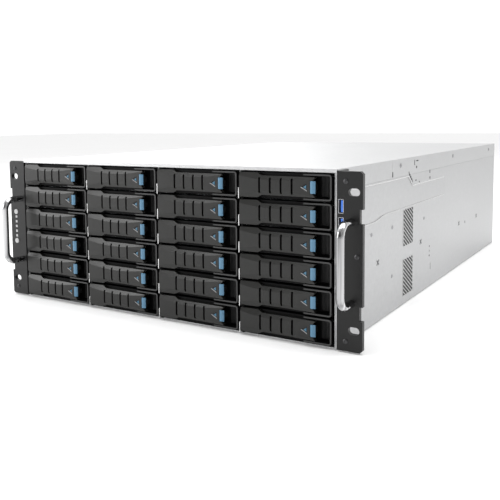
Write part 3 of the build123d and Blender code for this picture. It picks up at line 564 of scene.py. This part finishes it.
def drive_mesh():
    """Disk drive: cast body, a stepped top plate with screws, and a board underneath."""
    half, height, start, end = DRIVE
    body = prism(round_outline(-half, half, start, end, 3.0), -height + 1.4, height - 0.5, "Z")
    parts = [painted(softened(body, 0.5), 0)]
    plate = [(-46, start + 4), (-20, start + 4), (-14, start + 8), (14, start + 8), (20, start + 4),
             (46, start + 4), (48, start + 8), (48, end - 10), (44, end - 5), (-44, end - 5), (-48, end - 10),
             (-48, start + 8)]
    parts.append(painted(softened(prism(plate, height - 0.6, height - 0.15, "Z"), 0.25), 1))
    for x, depth, steps, radii in DRIVE_DISCS:
        levels = (height - 0.3, height - 0.02, height - 0.02)
        parts.append(painted(turned(list(zip(levels, radii)), (x, start + depth, 0), "Z", steps), 1))
    head = [(height - 0.4, 2.2), (height - 0.05, 2.0), (height - 0.05, 1.0), (height - 0.3, 0.9)]
    for x, depth in DRIVE_SCREWS:
        parts.append(painted(turned(head, (x, depth, 0), "Z", 16), 2))
    board = box_outline(-44, 44, start + 40, end - 2)
    parts.append(painted(prism(board, -height + 0.3, -height + 1.5, "Z"), 3))
    plug = prism(box_outline(-40, 2, end - 8, end), -height + 1.5, -height + 6.5, "Z")
    parts.append(painted(softened(plug, 0.2), 4))
    return joined(parts)


def carrier_bays():
    """Row, column and middle of each bay."""
    for row in range(1, ROWS + 1):
        for column in range(1, COLUMNS + 1):
            low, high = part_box(f"carrier_r{row}_c{column}")
            yield row, column, Vector(((low.x + high.x) / 2, FRONT, low.z + TRAY_BOTTOM * MM))


def add_carriers():
    """All carriers, their drives, levers, windows and buttons."""
    masters = {
        "tray": joined([tray_mesh()], MM),
        "drive": joined([drive_mesh()], MM),
        "lever": joined([lever_mesh()], MM),
        "window": joined([window_mesh()], MM),
        "button": joined([button_mesh()], MM),
    }
    for row, column, middle in carrier_bays():
        place = f"r{row}_c{column}"
        carrier = f"carrier_{place}"
        moving = column == COLUMNS
        lever_body = f"lever_r{row}" if moving else carrier
        button_body = f"release_button_r{row}" if moving else carrier
        add_piece(f"tray_{place}", masters["tray"], [COATS["carrier"], COATS["rim"]], carrier, middle,
                  [carrier])
        add_piece(f"drive_{place}", masters["drive"],
                  [METALS["cast"], METALS["plate"], METALS["bright_screw"], COATS["board"], COATS["black"]],
                  carrier, middle)
        add_piece(f"lever_face_{place}", masters["lever"], [COATS["lever"]], lever_body, middle,
                  [lever_body] if moving else [carrier])
        add_piece(f"window_{place}", masters["window"], [COATS["line"], COATS["lens"], COATS["black"]],
                  lever_body, middle)
        add_piece(f"button_face_{place}", masters["button"], [COATS["release"], COATS["black"]], button_body,
                  middle, [button_body] if moving else [carrier])


# Handles and fasteners: places of screws in metres, the other sizes in millimetres

HANDLE_BEND = 12
EAR_SCREWS = ((-0.232, 0.1649), (-0.232, 0.0101), (0.2242, 0.1649), (0.2242, 0.0101), (0.2356, 0.0933))
EAR_HEAD = (2.4, 0.9)
COVER_SCREWS = ((0.188, 0.1680), (0.421, 0.1680), (0.654, 0.1675))
COVER_HEAD = (2.8, 0.7)
WALL_SCREWS = (
    (0.0939, 0.0993, 2.4), (0.1602, 0.0986, 2.4), (0.1597, 0.042, 2.4), (0.283, 0.0941, 2.2),
    (0.4972, 0.0623, 2.0),
)
WALL_HEAD_HEIGHT = 0.5
BRACKET_SCREW_Z = 0.116
BRACKET_HEAD = (3.0, 1.8)
BRACKETS = 7
BRACKET_WIDTH = 18.4


def bar_mesh(path, radius, steps=32):
    """A round bar along a path that lies in a plane of constant X."""
    points = []
    for index, point in enumerate(path):
        before = path[max(index - 1, 0)]
        after = path[min(index + 1, len(path) - 1)]
        along = (after - before).normalized()
        across = Vector((1, 0, 0))
        third = along.cross(across)
        for step in range(steps):
            angle = 2 * math.pi * step / steps
            points.append(point + radius * (math.cos(angle) * across + math.sin(angle) * third))
    faces = [tuple(range(steps)), tuple(range(len(points) - steps, len(points)))]
    for ring in range(len(path) - 1):
        for step in range(steps):
            following = (step + 1) % steps
            faces.append((ring * steps + step, ring * steps + following,
                          (ring + 1) * steps + following, (ring + 1) * steps + step))
    mesh = mesh_from(points, faces)
    mesh.shade_smooth()
    mesh.set_sharp_from_angle(angle=math.radians(50))
    return mesh


def add_handles():
    """Chromed bails on the ears."""
    for name in ("left_handle", "right_handle"):
        low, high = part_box(name)
        radius = (high.x - low.x) / 2
        bend = HANDLE_BEND * MM
        x = (low.x + high.x) / 2
        bar_y, bottom, top = low.y + radius, low.z + radius, high.z - radius
        halfway = (FRONT + bar_y + bend) / 2
        turns = [math.radians(90 * step / ARC_STEPS) for step in range(ARC_STEPS + 1)]
        path = [Vector((x, FRONT, bottom)), Vector((x, halfway, bottom))]
        for turn in turns:
            depth = bar_y + bend - bend * math.sin(turn)
            path.append(Vector((x, depth, bottom + bend - bend * math.cos(turn))))
        for turn in turns:
            depth = bar_y + bend - bend * math.cos(turn)
            path.append(Vector((x, depth, top - bend + bend * math.sin(turn))))
        path += [Vector((x, halfway, top)), Vector((x, FRONT, top))]
        add_piece(f"{name}_bar", bar_mesh(path, radius), [METALS["chrome"]], "enclosure",
                  stands_for=[name])


def screw_mesh(centre, axis, direction, size):
    """A pan head with a cross recess. Its size is the radius and the height."""
    radius, height = (value * MM for value in size)
    profile = [(0, radius), (0.55 * height, radius), (0.85 * height, 0.82 * radius), (height, 0.55 * radius)]
    head = turned([(direction * along, across) for along, across in profile], centre, axis, 20)
    head.shade_smooth()
    head.set_sharp_from_angle(angle=math.radians(40))
    arm, reach = 0.14 * radius, 0.5 * radius
    cross = [(-arm, -reach), (arm, -reach), (arm, -arm), (reach, -arm), (reach, arm), (arm, arm),
             (arm, reach), (-arm, reach), (-arm, arm), (-reach, arm), (-reach, -arm), (-arm, -arm)]
    others = {"X": (1, 2), "Y": (0, 2), "Z": (0, 1)}[axis]
    along = centre["XYZ".index(axis)]
    outline = [(centre[others[0]] + first, centre[others[1]] + second) for first, second in cross]
    low, high = sorted((along + direction * 0.5 * height, along + direction * 1.5 * height))
    return carved(head, prism(outline, low, high, axis))


def add_fasteners():
    """Screw heads on the ears, the rear wall, the cover flanges and the side walls."""
    low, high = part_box("slot_brackets")
    pitch = (high.x - low.x - BRACKET_WIDTH * MM) / (BRACKETS - 1)
    first = low.x + BRACKET_WIDTH / 2 * MM
    dark = [screw_mesh((x, FRONT, z), "Y", -1, EAR_HEAD) for x, z in EAR_SCREWS]
    dark += [screw_mesh((first + index * pitch, REAR, BRACKET_SCREW_Z), "Y", 1, BRACKET_HEAD)
             for index in range(BRACKETS)]
    add_piece("screw_heads", joined(dark), [METALS["screw"]], "enclosure", stands_for=["screws"])
    cover, wall = [], []
    for side in (-1, 1):
        for depth, z in COVER_SCREWS:
            cover.append(screw_mesh((side * SIDE, FRONT + depth, z), "X", side, COVER_HEAD))
        for depth, z, radius in WALL_SCREWS:
            wall.append(screw_mesh((side * SIDE, FRONT + depth, z), "X", side, (radius, WALL_HEAD_HEIGHT)))
    add_piece("cover_screws", joined(cover), [METALS["bright_screw"]], "rear_cover")
    add_piece("wall_screws", joined(wall), [METALS["bright_screw"]], "enclosure")


# Ears, side walls and cage, in millimetres; a depth counts from the ears' front face

USB_SHELL = (6.9, 0.45, 5.0)
USB_HEIGHT = 14.2
USB_TONGUE = (-0.2, 2.0, 5.6)
BAND_TOP = ((36, 153), (216, 153), (219, 152.6), (233, 141.6), (236, 141), (375, 141))
BAND_BOTTOM = ((36, 112), (101, 112), (106, 112.3), (130, 115.9), (136, 116.4), (375, 116.4))
BAND_EDGES = ((BAND_TOP, 0.55), (BAND_BOTTOM, 0.38))
EDGE_SINK = 0.25
BAND_END = (335.0, 379.5, 116.7, 140.7)
BAND_SINK = 0.75
GRILLES = (32.0, 92.3)
GRILLE_DEPTH = 218.0
GRILLE_HALF = (18.0, 22.0)
SLITS = 15
SLIT_PITCH = 5.0
SLIT_HALF = 1.5
SLIT_SLOPE = -31.0
GRILLE_PROUD = 0.3
BACKING_PROUD = 0.05
WALL_SLOTS = (
    (160, 159.5, 2.6, 6.4, 0), (252, 170.5, 8, 1.4, 0), (241, 168.7, 1.6, 7, 0), (249, 162.7, 3.4, 3.4, 0),
    (220, 156.4, 1.6, 6, 30), (224, 153.4, 1.6, 6, 30), (228, 150.4, 1.6, 6, 30), (232, 147.4, 1.6, 6, 30),
    (247, 146.4, 4, 1.6, 0), (261, 143.4, 2.2, 2.2, 0), (306.5, 153.4, 3, 4.4, 0), (307, 145.2, 3.6, 3.6, 0),
    (308, 53.8, 2.4, 2.4, 0), (308, 41.3, 3, 3, 0), (308, 47.5, 1.4, 3, 0), (313.6, 26.3, 0.7, 9, 0),
)
MARK_SINK = 0.1
MARK_PROUD = 0.12
WALL_CROSSES = ((113.4, 66), (269.6, 65.5), (460.6, 64.3), (571.4, 62.8))
CROSS_ARM = (9.0, 1.7, 40)
LIP_DEPTHS = (-0.6, 3.4)
LIP_HEIGHTS = (-15.4, -3.4)
LIP_HALF = 0.5
LIP_ROUNDING = 1.2


def add_ports():
    """Shells, cavities and tongues of the two USB ports."""
    low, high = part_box("usb_ports")
    middle = (low + high) / 2
    half_z, wall, cavity_depth = (value * MM for value in USB_SHELL)
    tongue_left, tongue_right, tongue_half = (value * MM for value in USB_TONGUE)
    half_x = (high.x - low.x) / 2 - 0.1 * MM
    pitch = high.z - low.z - USB_HEIGHT * MM
    floor_y = low.y + cavity_depth
    parts = []
    for offset in (-pitch / 2, pitch / 2):
        z = middle.z + offset
        outer = round_outline(middle.x - half_x, middle.x + half_x, z - half_z, z + half_z, 0.6 * MM)
        inner = centred_outline(middle.x, z, half_x - wall, half_z - wall)
        tongue = box_outline(middle.x + tongue_left, middle.x + tongue_right,
                             z - tongue_half, z + tongue_half)
        shell = carved(prism(outer, low.y, high.y), prism(inner, low.y - MM, high.y - MM))
        parts.append(painted(softened(shell, 0.1 * MM), 0))
        parts.append(painted(prism(inner, floor_y, floor_y + 0.3 * MM), 1))
        parts.append(painted(softened(prism(tongue, low.y + 0.5 * MM, floor_y + 0.2 * MM), 0.15 * MM), 2))
    add_piece("usb_port_shells", joined(parts), [METALS["port"], COATS["black"], COATS["usb"]], "enclosure",
              stands_for=["usb_ports"])


def side_path(side, points):
    """Points on a side wall, from pairs of depth and height."""
    x = side * (SIDE - EDGE_SINK * MM)
    return [Vector((x, FRONT + depth * MM, height * MM)) for depth, height in points]


def grille_mesh(side, middle_height):
    """A thin vent plate with slanted slits over a black backing, painted shade behind the slits."""
    half_length, half_height = (value * MM for value in GRILLE_HALF)
    depth, height = FRONT + GRILLE_DEPTH * MM, middle_height * MM
    low, high = sorted((side * SIDE, side * (SIDE + GRILLE_PROUD * MM)))
    plate = prism(round_outline(depth - half_length - MM, depth + half_length + MM, height - half_height - MM,
                                height + half_height + MM, 2 * MM), low, high, "X")
    slope = math.radians(SLIT_SLOPE)
    direction = Vector((math.cos(slope), math.sin(slope)))
    along = direction * (half_length / math.cos(slope))
    across = Vector((-direction.y, direction.x)) * SLIT_HALF * MM
    corners = (-along - across, along - across, along + across, -along + across)
    cutters = []
    for index in range(SLITS):
        centre = height + (index - SLITS // 2) * SLIT_PITCH * MM
        outline = [(depth + corner.x, centre + corner.y) for corner in corners]
        cutters.append(prism(outline, low - MM, high + MM, "X"))
    patch = centred_outline(depth, height, half_length, half_height)
    slits = carved(prism(patch, low - MM, high + MM, "X"), joined(cutters), "INTERSECT")
    plate = carved(plate, slits)
    # Black backing sheet: painted shade seen through the slits.
    low, high = sorted((side * SIDE, side * (SIDE + BACKING_PROUD * MM)))
    return joined([painted(plate, 0), painted(prism(patch, low, high, "X"), 1)])


def slot_mark(side, depth, height, length, tall, tilt):
    """A small slot mark, a thin plate that reads as a hole; painted black, it is painted shade inside the
    hole.
    """
    low, high = sorted((side * (SIDE - MARK_SINK * MM), side * (SIDE + MARK_PROUD * MM)))
    turn = Matrix.Rotation(math.radians(tilt), 2)
    rounding = min(length, tall) * 0.45
    outline = []
    for pair in round_outline(-length / 2, length / 2, -tall / 2, tall / 2, rounding, 4):
        corner = turn @ Vector(pair)
        outline.append((FRONT + (depth + corner.x) * MM, (height + corner.y) * MM))
    return prism(outline, low, high, "X")


def add_side_details():
    """Rounded edges of the rail band in a lighter metal as painted highlights, vent plates over black
    backings painted as the shade behind their slits, and small slots painted black as the shade in holes, and
    dark crosses, in both side walls.
    """
    edges, marks, grilles, ends = [], [], [], []
    start, end, bottom, top = (value * MM for value in BAND_END)
    length, tall, tilt = CROSS_ARM
    for side in (-1, 1):
        for points, radius in BAND_EDGES:
            edges.append(bar_mesh(side_path(side, points), radius * MM, 12))
        pressed, flush = side * (SIDE - BAND_SINK * MM), side * (SIDE - 0.02 * MM)
        ends.append(prism([(pressed, FRONT + start), (flush, FRONT + end), (pressed, FRONT + end)],
                          bottom, top, "Z"))
        # Slot marks painted black: painted shade in holes.
        marks += [slot_mark(side, *slot) for slot in WALL_SLOTS]
        for depth, height in WALL_CROSSES:
            for turn in (tilt, -tilt):
                marks.append(painted(slot_mark(side, depth, height, length, tall, turn), 1))
        grilles += [grille_mesh(side, height) for height in GRILLES]
    # Band edges in the lighter metal: painted highlight.
    add_piece("band_edges", joined(edges), [METALS["bright_wire_and_edge_highlight"]], "enclosure")
    add_piece("band_ends", joined(ends), [METALS["zinc"]], "enclosure")
    add_piece("wall_slots", joined(marks), [COATS["black"], METALS["screw"]], "enclosure")
    add_piece("vent_plates", joined(grilles), [METALS["zinc"], COATS["black"]], "enclosure")


def add_cage_lips():
    """Front lips of the cage dividers, between the rows, in the lighter metal as a painted highlight."""
    centres = {(row, column): middle for row, column, middle in carrier_bays()}
    lips = []
    for (row, column), middle in centres.items():
        if column < COLUMNS:
            x = (middle.x + centres[row, column + 1].x) / 2
            depths = [FRONT + depth * MM for depth in LIP_DEPTHS]
            heights = [middle.z + height * MM for height in LIP_HEIGHTS]
            outline = round_outline(*depths, *heights, LIP_ROUNDING * MM)
            lips.append(softened(prism(outline, x - LIP_HALF * MM, x + LIP_HALF * MM, "X"), 0.1 * MM))
    add_piece("cage_lips", joined(lips), [METALS["bright_wire_and_edge_highlight"]], "enclosure")


# Rear face, in millimetres

PORT_BLOCK = (118.0, 8.6, 42.6)
PORT_GRID = (4, 2)
PORT_OPENING = (21.6, 10.6)
PORT_DEPTHS = (2.9, 2.5)
PORT_PROUD = 0.9
PORT_WALL = 0.5
PORT_TONGUE = (4.0, 1.4)
PORT_PLATE = (0.02, 0.35)
INLET = (17.0, 24.0, 17.0)
INLET_BORDER = 1.8
INLET_OVERLAP = 0.4
SUPPLY_FAN = (16.0, 14.5)
FAN_FLOOR = (4.9, 4.6)
FAN_FLOOR_SHARE = 0.97
FAN_STEPS = 48
GUARD_RINGS = (0.98, 0.74, 0.5)
GUARD_SPOKES = (45, 135)
GUARD_HALF = 0.5


def add_rear_ports():
    """Steel plate over the port block, with a shell, a dark cavity and a tongue in each opening."""
    width, low, high = (value * MM for value in PORT_BLOCK)
    half_x, half_z = PORT_OPENING[0] * MM / 2, PORT_OPENING[1] * MM / 2
    wall = PORT_WALL * MM
    back_y, floor_y = (REAR - depth * MM for depth in PORT_DEPTHS)
    plate_low, plate_high = (REAR + proud * MM for proud in PORT_PLATE)
    tongue_inset, tongue_half = (value * MM for value in PORT_TONGUE)
    plate = prism(round_outline(-width + MM, -MM, low + MM, high - MM, MM), plate_low, plate_high)
    openings, parts = [], []
    for column in range(PORT_GRID[0]):
        for row in range(PORT_GRID[1]):
            x = -width + (column + 0.5) * width / PORT_GRID[0]
            z = low + (row + 0.5) * (high - low) / PORT_GRID[1]
            opening = centred_outline(x, z, half_x, half_z)
            inner = centred_outline(x, z, half_x - wall, half_z - wall)
            tongue = centred_outline(x, z, half_x - tongue_inset, tongue_half)
            openings.append(prism(opening, REAR - MM, REAR + MM))
            shell = carved(prism(opening, back_y, REAR + PORT_PROUD * MM),
                           prism(inner, REAR - 4 * MM, REAR + 2 * MM))
            parts.append(painted(softened(shell, 0.12 * MM), 0))
            parts.append(painted(prism(inner, back_y, floor_y), 1))
            parts.append(painted(softened(prism(tongue, floor_y, REAR - 0.2 * MM), 0.15 * MM), 1))
    parts.append(painted(softened(carved(plate, joined(openings)), 0.08 * MM), 0))
    add_piece("rear_port_shells", joined(parts), [METALS["port"], COATS["black"]], "enclosure")


def inlet_mesh(x, z):
    """Surround of a mains inlet."""
    half_x, half_z = INLET[1] * MM / 2, INLET[2] * MM / 2
    border, overlap = INLET_BORDER * MM, INLET_OVERLAP * MM
    outer = round_outline(x - half_x - border, x + half_x + border, z - half_z - border, z + half_z + border,
                          2 * MM)
    inner = round_outline(x - half_x + overlap, x + half_x - overlap, z - half_z + overlap,
                          z + half_z - overlap, 1.6 * MM)
    surround = carved(prism(outer, REAR + 0.02 * MM, REAR + 1.1 * MM), prism(inner, REAR - MM, REAR + 3 * MM))
    return softened(surround, 0.25 * MM)


def fan_guard_parts(x, z, reach):
    """Dark floor of a fan recess, and the rings and spokes of the guard over it."""
    floor, radius = [], reach * FAN_FLOOR_SHARE
    for step in range(FAN_STEPS):
        angle = step * math.pi / (FAN_STEPS // 2)
        floor.append((x + radius * math.cos(angle), z + radius * math.sin(angle)))
    parts = [painted(prism(floor, *(REAR - depth * MM for depth in FAN_FLOOR)), 0)]
    wire = GUARD_HALF * MM
    near, far = REAR + 0.05 * MM, REAR + 0.9 * MM
    for share in GUARD_RINGS:
        inside, outside = reach * share - wire, reach * share + wire
        profile = [(near, inside), (far, inside), (far, outside), (near, outside), (near, inside)]
        parts.append(painted(turned(profile, (x, 0.0, z), "Y", FAN_STEPS), 1))
    for turn in GUARD_SPOKES:
        angle = math.radians(turn)
        along = Vector((math.cos(angle), math.sin(angle))) * reach
        across = Vector((-along.y, along.x)).normalized() * wire
        corners = (-along - across, along - across, along + across, -along + across)
        spoke = [(x + corner.x, z + corner.y) for corner in corners]
        parts.append(painted(prism(spoke, REAR + 0.1 * MM, REAR + 0.8 * MM), 1))
    return parts


def add_supply_details():
    """Inlet surround and fan guard on each power supply."""
    inset, reach = (value * MM for value in SUPPLY_FAN)
    for number in (1, 2):
        name = f"power_supply_{number}"
        low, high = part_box(name)
        middle = (low.z + high.z) / 2
        parts = [painted(inlet_mesh(low.x + INLET[0] * MM, middle), 0)]
        parts += fan_guard_parts(high.x - inset, middle, reach)
        add_piece(f"supply_face_{number}", joined(parts), [COATS["black"], METALS["bright_wire_and_edge_highlight"]], name)


# Finishes of the CAD nodes that stay

NODE_FINISH = {
    "chassis": METALS["zinc"], "drive_cage": METALS["zinc"], "slot_brackets": METALS["zinc"],
    "front_cover": METALS["cover"], "rear_cover": METALS["cover"],
    "left_ear": COATS["ear"], "right_ear": COATS["ear"],
    "power_button": COATS["button"], "reset_button": COATS["button"], "indicator_windows": COATS["button"],
    "backplane": COATS["board"], "main_board": COATS["board"], "memory_modules": COATS["board"],
    "fan_wall": COATS["black"], "fan_rotor_1": COATS["black"], "fan_rotor_2": COATS["black"],
    "fan_rotor_3": COATS["black"], "heat_sinks": METALS["sink"],
    "power_supply_1": METALS["case"], "power_supply_2": METALS["case"],
}


def finish_nodes():
    """Materials on the CAD nodes."""
    for name, material in NODE_FINISH.items():
        slots = nodes[name].data.materials
        slots.clear()
        slots.append(material)


# Studio

FLOOR = 9.0
FLOOR_BOTTOM = -0.02
FLOOR_TOP = -0.0012
FLOOR_GLOW = 0.09
SURROUND = 1.15
DIM_FRONT = (-0.97, -0.4, 1.05)
DIM_SIDE = (0.05, 0.5, 0.42)
DIM_RISE = (0.0, 0.22)
LIGHTS = {
    "overhead": ((0.05, -0.6, 2.1), (0.05, -0.5, 0.0), (2.6, 1.2), 24),
    "behind": ((-1.7, 1.4, 1.5), (0.0, 0.1, 0.17), (2.4, 1.2), 16),
    "right": ((1.25, 0.1, 1.5), (0.85, 0.15, 0.0), (0.8, 1.6), 9),
    "left_front": ((-1.75, -1.7, 0.75), (-0.2, -0.35, 0.09), (1.0, 1.2), 20),
}


def add_world():
    """A white surround, above the horizon dimmer in front, where a photographer stands, and to the right."""
    world = bpy.data.worlds.new("studio")
    bpy.context.scene.world = world
    world.use_nodes = True
    tree = world.node_tree
    coords = tree.nodes.new("ShaderNodeTexCoord")
    axes = tree.nodes.new("ShaderNodeSeparateXYZ")
    tree.links.new(coords.outputs["Generated"], axes.inputs["Vector"])
    either, both = tree.nodes.new("ShaderNodeMath"), tree.nodes.new("ShaderNodeMath")
    either.operation, both.operation = "MAXIMUM", "MULTIPLY"
    tree.links.new(spread(tree, axes.outputs["Y"], DIM_FRONT[2], 0.0, *DIM_FRONT[:2]), either.inputs[0])
    tree.links.new(spread(tree, axes.outputs["X"], 0.0, DIM_SIDE[2], *DIM_SIDE[:2]), either.inputs[1])
    tree.links.new(either.outputs["Value"], both.inputs[0])
    tree.links.new(spread(tree, axes.outputs["Z"], 0.0, 1.0, *DIM_RISE), both.inputs[1])
    level = spread(tree, both.outputs["Value"], SURROUND, 0.0, 0.0, SURROUND)
    tree.links.new(level, tree.nodes["Background"].inputs["Strength"])
    tree.nodes["Background"].inputs["Color"].default_value = (1, 1, 1, 1)


def add_studio():
    """Pale floor with a faint glow of its own, and soft lights."""
    floor = prism(box_outline(-FLOOR, FLOOR, -FLOOR, FLOOR), FLOOR_BOTTOM, FLOOR_TOP, "Z")
    item = bpy.data.objects.new("floor", floor)
    bpy.context.scene.collection.objects.link(item)
    material, tree, shader = new_material("floor_paper")
    shader.inputs["Roughness"].default_value = 0.9
    shader.inputs["Specular IOR Level"].default_value = 0.1
    shader.inputs["Emission Color"].default_value = (1, 1, 1, 1)
    shader.inputs["Emission Strength"].default_value = FLOOR_GLOW
    tone = add_noise(tree, place_coords(tree), 3.0)
    tree.links.new(blend_colours(tree, tone, (0.87, 0.87, 0.87), (0.89, 0.89, 0.89)),
                   shader.inputs["Base Color"])
    floor.materials.append(material)
    for name, (place, target, size, power) in LIGHTS.items():
        data = bpy.data.lights.new(name, "AREA")
        data.shape = "RECTANGLE"
        data.size, data.size_y = size
        data.energy = power
        lamp = bpy.data.objects.new(name, data)
        lamp.location = place
        lamp.rotation_euler = (Vector(target) - Vector(place)).to_track_quat("-Z", "Y").to_euler()
        bpy.context.scene.collection.objects.link(lamp)


CAMERA = {
    "focal": 709.30, "centre": (210.66, 178.61), "yaw": 33.247, "pitch": 4.758, "roll": -0.722,
    "place": (0.48335, -0.97668, 0.22465), "frame": 500.0,
}


def add_camera():
    """Camera at the photograph's place, with the shift that its framing needs."""
    data = bpy.data.cameras.new("camera")
    data.sensor_fit = "HORIZONTAL"
    data.sensor_width = 36.0
    data.lens = CAMERA["focal"] / CAMERA["frame"] * data.sensor_width
    data.shift_x = (CAMERA["frame"] / 2 - CAMERA["centre"][0]) / CAMERA["frame"]
    data.shift_y = (CAMERA["centre"][1] - CAMERA["frame"] / 2) / CAMERA["frame"]
    data.clip_start = 0.01
    data.clip_end = 50.0
    yaw, pitch, roll = (math.radians(CAMERA[key]) for key in ("yaw", "pitch", "roll"))
    forward = Vector((-math.sin(yaw) * math.cos(pitch), math.cos(yaw) * math.cos(pitch), -math.sin(pitch)))
    right = Vector((math.cos(yaw), math.sin(yaw), 0))
    up = right.cross(forward)
    right_rolled = math.cos(roll) * right + math.sin(roll) * up
    up_rolled = -math.sin(roll) * right + math.cos(roll) * up
    camera = bpy.data.objects.new("camera", data)
    turn = Matrix((right_rolled, up_rolled, -forward)).transposed()
    camera.matrix_world = Matrix.Translation(CAMERA["place"]) @ turn.to_4x4()
    bpy.context.scene.collection.objects.link(camera)
    bpy.context.scene.camera = camera


bpy.context.scene.view_settings.view_transform = "Standard"
add_camera()
add_world()
add_studio()
finish_nodes()
add_carriers()
add_handles()
add_fasteners()
add_ports()
add_side_details()
add_cage_lips()
add_rear_ports()
add_supply_details()
